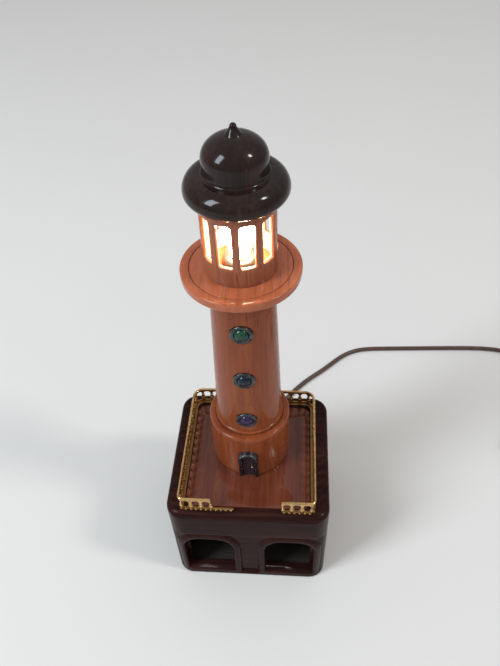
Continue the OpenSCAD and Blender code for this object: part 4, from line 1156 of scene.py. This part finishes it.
def flex(name, line):
    """A round lead along a line of points, as a curve with its own thickness."""
    curve = bpy.data.curves.new(name, "CURVE")
    curve.dimensions = "3D"
    curve.bevel_depth, curve.bevel_resolution = flex_d / 2 * MM, 5
    curve.use_fill_caps = True
    spline = curve.splines.new("POLY")
    spline.points.add(len(line) - 1)
    for point, place in zip(spline.points, line):
        point.co = (*(Vector(place) * MM), 1)
    spline.use_smooth = True
    curve.materials.append(sheath)
    piece = in_scene(name, curve)
    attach(piece, "root")
    return piece


def line_length(line):
    return sum((b - a).length for a, b in zip(line, line[1:]))


bend_r, bend_y, bend_z = 20, 30, exit_z + 20
inside = [Vector((0, exit_y, exit_z)), Vector((0, 50, exit_z))]
inside += [Vector((0, y, z)) for y, z in arc(bend_y, bend_z, bend_r, bend_r, -90, -180, 10)]
inside += [Vector((0, tower_y, z)) for z in (60, 120, 200, 280, 337)]
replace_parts(flex("flex_inside", inside), "inner_flex")

relief_hole_r, relief_y, rib_count, rib_pitch = 2.8, 58.0, 5, 3.2
relief_outline = eased_outline([
    (relief_hole_r, 0, 0), (4.9, 0, 0.3), (4.9, 2, 0.3), (4.0, 2, 0), (4.0, 13, 0), (6.2, 13, 0.4),
    (6.2, 15.4, 0.5), (4.9, 15.6, 0),
])
for k in range(rib_count):
    y, r = 16.6 + rib_pitch * k, 4.85 - 0.26 * k
    rib = ((0, 0), (0.1, 0.5), (0, 1.3), (-0.75, 1.5), (-0.8, 2.6))
    relief_outline += [(r + dr, y + dy) for dr, dy in rib]
relief_outline += [(3.55, 32.4), (3.3, 33.0), (relief_hole_r, 33.0)]
relief = facing_front([(r, -y) for r, y in relief_outline], relief_y, float(exit_z), 48)
relief_mesh = as_mesh("strain_relief", *relief)
put(relief_mesh, black_plastic, stands_for=["cord_relief"], crisp=35)

# ----------------------------------------------------------
# The lead to the switch.
# It drops to the table behind the lamp and runs in one loose sweep to the right, out of the
# view, where the switch is.

on_table_z = 2.8
on_table = [
    (37, 167.5), (46, 179), (54, 188), (62, 195.8), (70, 203), (79, 211), (88, 219.5),
    (97.5, 229), (107.5, 238), (119, 245.5), (131, 250.2), (144, 252.6), (160, 253.8),
    (182, 254.8), (206, 255.8), (230, 256.8), (255, 257.8), (280, 258.5), (302, 258.2),
]
route_to_switch = [
    (0, exit_y, exit_z), (0, 82, 11), (0, 91, 11), (0, 97, 11), (1.2, 106, 10), (5, 117, 8),
    (11.5, 129, 5.6), (19.5, 141.5, 3.8), (28, 155, 3), *((x, y, on_table_z) for x, y in on_table),
    (321, 255.8, 3), (335, 250.5, 4.2), (344.5, 242.5, 6.4), (349.3, 235, 8.3), (350.5, 229, 9),
    (350.5, 223.5, 9),
]
to_switch = smooth_route(route_to_switch)
lead_to_switch = flex("lead_to_switch", to_switch)
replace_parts(lead_to_switch, "cord_to_switch")

# ----------------------------------------------------------
# The switch.
# A rocker switch in a brown two-part housing on the lead, held together by two screws from
# below. The rocker tips about a pin across the housing.

brown_plastic = moulded("brown_housing", (0.030, 0.014, 0.009), (0.050, 0.025, 0.016))
dress("switch_base", brown_plastic, 0.7)
dress("switch_cover", brown_plastic, 0.9)
dress("switch_rocker", black_plastic, 0.35)
dress("switch_screws", steel, 0.15)
line_length(to_switch) * MM

# ----------------------------------------------------------
# The rest of the lead, put away as a coil.
# Six turns lie beside and on each other in two layers, spiralling in below and out again above,
# and a soft black tie holds them. The end runs on to the plug.

coil_x, coil_y, coil_z, coil_pitch, coil_r, coil_turns = 340, 95, 4.05, 6.0, 22.0, 6
coil_half = coil_turns * 180
coil = []
for step in range(-coil_half // 15, coil_half // 15 + 1):
    a = step * 15
    r = coil_r + coil_pitch * abs(a) / 360
    rise = coil_pitch * (0 if a <= -90 else 1 if a >= 90 else (1 + math.sin(math.radians(a))) / 2)
    around = math.radians(-(a + coil_half))
    coil.append((coil_x + r * math.cos(around), coil_y + r * math.sin(around), coil_z + rise))
route_to_plug = [
    (350.5, 177.5, 9), (350.5, 172, 9), (351.5, 163, 7.8), (354.5, 154, 5.6), (359, 146, 4),
    (365.2, 139, 3), (371.5, 132, 2.9), (376.2, 124, 3.1), (379.2, 115.2, 3.7),
    (380, 106, 4.05), (380, 100.5, 4.05), *coil, (380, 89.5, 10.05), (380, 84, 10.05),
    (380, 75, 8.8), (379.4, 66, 6.4), (378.2, 57, 4.2), (376.5, 48, 3.2), (374.6, 39, 3.4),
    (372.7, 30.5, 4.8), (371.4, 23.5, 6.3), (371, 17.5, 6.8), (371, 12, 6.8),
]
to_plug = smooth_route(route_to_plug, 3)
lead_to_plug = flex("lead_to_plug", to_plug)
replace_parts(lead_to_plug, "cord_to_coil", "cord_coil", "cord_to_plug")
tie_finish = moulded("soft_tie", (0.015, 0.015, 0.016), (0.03, 0.03, 0.03), 0.05, (0.5, 0.7))
dress("coil_tie", tie_finish, 0.25)

# ----------------------------------------------------------
# The plug.
# A flat two-pin mains plug, moulded on the lead in black, with round nickel-plated pins.

dress("plug_body", black_plastic, 0.9)
nickel = plain_metal("nickel_plate", (0.70, 0.68, 0.63), (0.55, 0.52, 0.46), (0.16, 0.3))
dress("plug_pins", nickel)
line_length(to_plug) * MM

# ----------------------------------------------------------
# The bulb.
# A small opal bulb with a nickel screw cap, lit. Its glass glows warm white, and its tip is
# black glass round the contact.

glow, tree, shader = new_finish("lit_opal_glass")
warmth = spread(tree, upright_part(tree, object_place(tree)), 0.366, 0.384)
feed(shader, {
    "Base Color": blended(tree, warmth, (0.80, 0.62, 0.42, 1), (0.95, 0.90, 0.80, 1)),
    "Emission Color": blended(tree, warmth, (1.0, 0.74, 0.46, 1), (1.0, 0.84, 0.62, 1)),
    "Emission Strength": 60.0, "Roughness": 0.35,
})
glass_z, ball_r = 364.5, 13.0
ball_z = glass_z + 20.5
neck_outline = [(0.0, 0.0), (7.2, 0.0), (7.2, 1.5), (7.5, 3.5), (8.6, 7.5), (10.0, 11.2)]
bulb_outline = [(r, glass_z + rise) for r, rise in neck_outline]
bulb_outline += arc(0, ball_z, ball_r, ball_r, -30, 90, 20)[:-1] + [(0.0, ball_z + ball_r)]
put(turned("bulb_opal", bulb_outline, 96), glow, "bulb", ["bulb_glass"], crisp=50)
cap_r, cap_thread, cap_pitch, cap_foot, cap_head = 6.88, 0.75, 2.82, 349.5, 362.0
cap = threaded(cap_r, cap_thread, cap_pitch, cap_foot, cap_head, steps=48, per_turn=10)
put(as_mesh("bulb_cap_threaded", *cap), nickel, "bulb", ["bulb_cap"], crisp=60)
collar_ring = eased_outline([
    (5.9, 361.5, 0), (6.3, 361.5, 0), (6.8, 362.5, 0.3), (6.85, glass_z, 0), (5.9, glass_z, 0),
])
put(turned("bulb_collar", collar_ring, 64), nickel, "bulb", crisp=50)
shoulder_outline = [(0.0, 348.5), (5.4, 348.5), (6.1, 349.0), (6.2, 349.7), (0.0, 349.7)]
put(turned("bulb_shoulder", shoulder_outline, 64), nickel, "bulb", crisp=50)

black_glass, tree, shader = new_finish("black_glass")
place = object_place(tree)
clouds = noise(tree, place, 600.0)
feed(shader, {
    "Base Color": blended(tree, clouds, (0.008, 0.007, 0.010, 1), (0.025, 0.02, 0.03, 1)),
    "Roughness": spread(tree, noise(tree, place, 300.0), 0.3, 0.7, 0.04, 0.12),
})
dress("bulb_contact", black_glass, 0.15)

# ----------------------------------------------------------
# The lantern.
# A turned tube of the tower's wood with ten tall windows sawn through it. Its inner wall
# is painted pale, a painted glow that stands for the bulb's light on it.

lantern_finish = lacquered(
    "lantern_lacquer", (0.20, 0.062, 0.030), (0.28, 0.092, 0.047), (0.35, 0.125, 0.068),
    fineness=330, swirl=0.7, gloss=(0.24, 0.4), coat=0.5,
)
lantern_z, lantern_h, lantern_r, lantern_wall, window_count = 355, 58, 27.2, 3.2, 10
window_half, window_foot, window_head, window_r, sill_r = 5.8, 16.0, 51.5, 2.8, 1.2
cell_w = 2 * math.pi * lantern_r / window_count

tree = lantern_finish.node_tree
shader = tree.nodes["Principled BSDF"]
from_axis = add_node(tree, "ShaderNodeVectorMath", {
    0: object_place(tree), 1: (0.0, tower_y * MM, 0.0),
}, operation="SUBTRACT").outputs[0]
radius = add_node(tree, "ShaderNodeVectorMath", {
    0: times(tree, from_axis, (1.0, 1.0, 0.0)),
}, operation="LENGTH").outputs["Value"]
lacquer_colour = shader.inputs["Base Color"].links[0].from_socket
flecks = noise(tree, object_place(tree), 300.0)
# Painted glare: inside the wall the wood is drawn pale, standing in for the bulb's light falling on
# it.
painted_glare_wood = blended(tree, flecks, (0.60, 0.40, 0.25, 1), (0.70, 0.50, 0.33, 1))
painted_glare_r, lacquered_r = 0.0243, 0.0255
outside = spread(tree, radius, painted_glare_r, lacquered_r)
feed(shader, {"Base Color": blended(tree, outside, painted_glare_wood, lacquer_colour)})


def window_outline(width):
    """A tall opening in the middle of a cell, with rounder corners above than below."""
    outline = []
    for side, r, first in ((1, sill_r, -90), (1, window_r, 0), (-1, window_r, 90), (-1, sill_r, 180)):
        x = width / 2 + side * (window_half - r)
        y = window_head - r if first in (0, 90) else window_foot + r
        outline += arc(x, y, r, r, first, first + 90, 6)
    return outline


def round_wall(u, v):
    a = math.radians(-90) + u / lantern_r
    return lantern_r * math.cos(a), tower_y + lantern_r * math.sin(a), lantern_z + v


cell = pierced_cell(cell_w, lantern_h, window_outline(cell_w), across=12, up=24, rings=5)
lantern_mesh = as_mesh("lantern_sawn", *side_by_side(cell, window_count, cell_w, round_wall))
lantern = put(lantern_mesh, lantern_finish, stands_for=["lantern_tube"])
thicken(lantern, lantern_wall, (0, tower_y))
ease(lantern, 0.45, 50, 3)

# ----------------------------------------------------------
# The dome and its finial.
# An onion-shaped cap turned from dark wood: a fat lower lobe, a round crown above a soft cove,
# and a small finial on a peg. A spigot locates it in the lantern, and it lifts off for the bulb.

dome_finish = lacquered(
    "dome_lacquer", (0.008, 0.0042, 0.0036), (0.017, 0.0085, 0.0072), (0.036, 0.017, 0.0135),
    fineness=280, gloss=(0.12, 0.24), coat=0.5,
)
spigot_r, spigot_z, hollow_r, hollow_z = 23.7, 409.0, 19.0, 423.0
dome_z, lobe_z, lobe_r, lobe_ring_r, lobe_up = 413.0, 420.2, 35.9, 24.7, 11.3
crown_z, crown_r, crown_up, crown_down, crown_top = 441.5, 22.1, 16.1, 22.0, 457.6
cove_r, cove_z = 21.3, 431.2
dome_outline = [(0.0, hollow_z), (hollow_r, hollow_z), (hollow_r, spigot_z)]
dome_outline += [(spigot_r, spigot_z), (spigot_r, dome_z)]
dome_outline += arc(lobe_ring_r, lobe_z, lobe_r - lobe_ring_r, lobe_z - dome_z, -90, 0, 24)
dome_outline += arc(lobe_ring_r, lobe_z, lobe_r - lobe_ring_r, lobe_up, 4, 90, 24)
dome_outline += arc(lobe_ring_r, lobe_z, 7.0, lobe_up, 92, 96, 2)
crown_outline = arc(0, crown_z, crown_r, crown_down, -6, -2, 3)
crown_outline += arc(0, crown_z, crown_r, crown_up, 0, 78, 26)
flank, cove, neck = Vector(dome_outline[-1]), Vector((cove_r, cove_z)), Vector(crown_outline[0])
for k in range(1, 12):
    t = k / 12
    dome_outline.append(tuple((1 - t) ** 2 * flank + 2 * t * (1 - t) * cove + t * t * neck))
dome_outline += crown_outline + [(0.0, crown_top)]
put(turned("dome_turned", dome_outline), dome_finish, "dome", ["dome"], crisp=45)

tip_r, tip_z, cone_foot_r, cone_foot_z = 2.3, 462.0, 5.4, 457.3
finial_outline = [(0.0, 455.6), (6.8, 456.2), (5.8, 456.9)]
for t in (0.0, 0.1, 0.2, 0.35, 0.5, 0.65, 0.8, 1.0):
    r = tip_r + (cone_foot_r - tip_r) * (1 - t) ** 1.2
    finial_outline.append((r, cone_foot_z + (tip_z - cone_foot_z) * t))
finial_outline += arc(0, tip_z, tip_r, tip_r, 10, 80, 7) + [(0.0, tip_z + tip_r)]
finial_mesh = turned("finial_turned", finial_outline, 64)
put(finial_mesh, dome_finish, "dome", ["finial"], crisp=45)
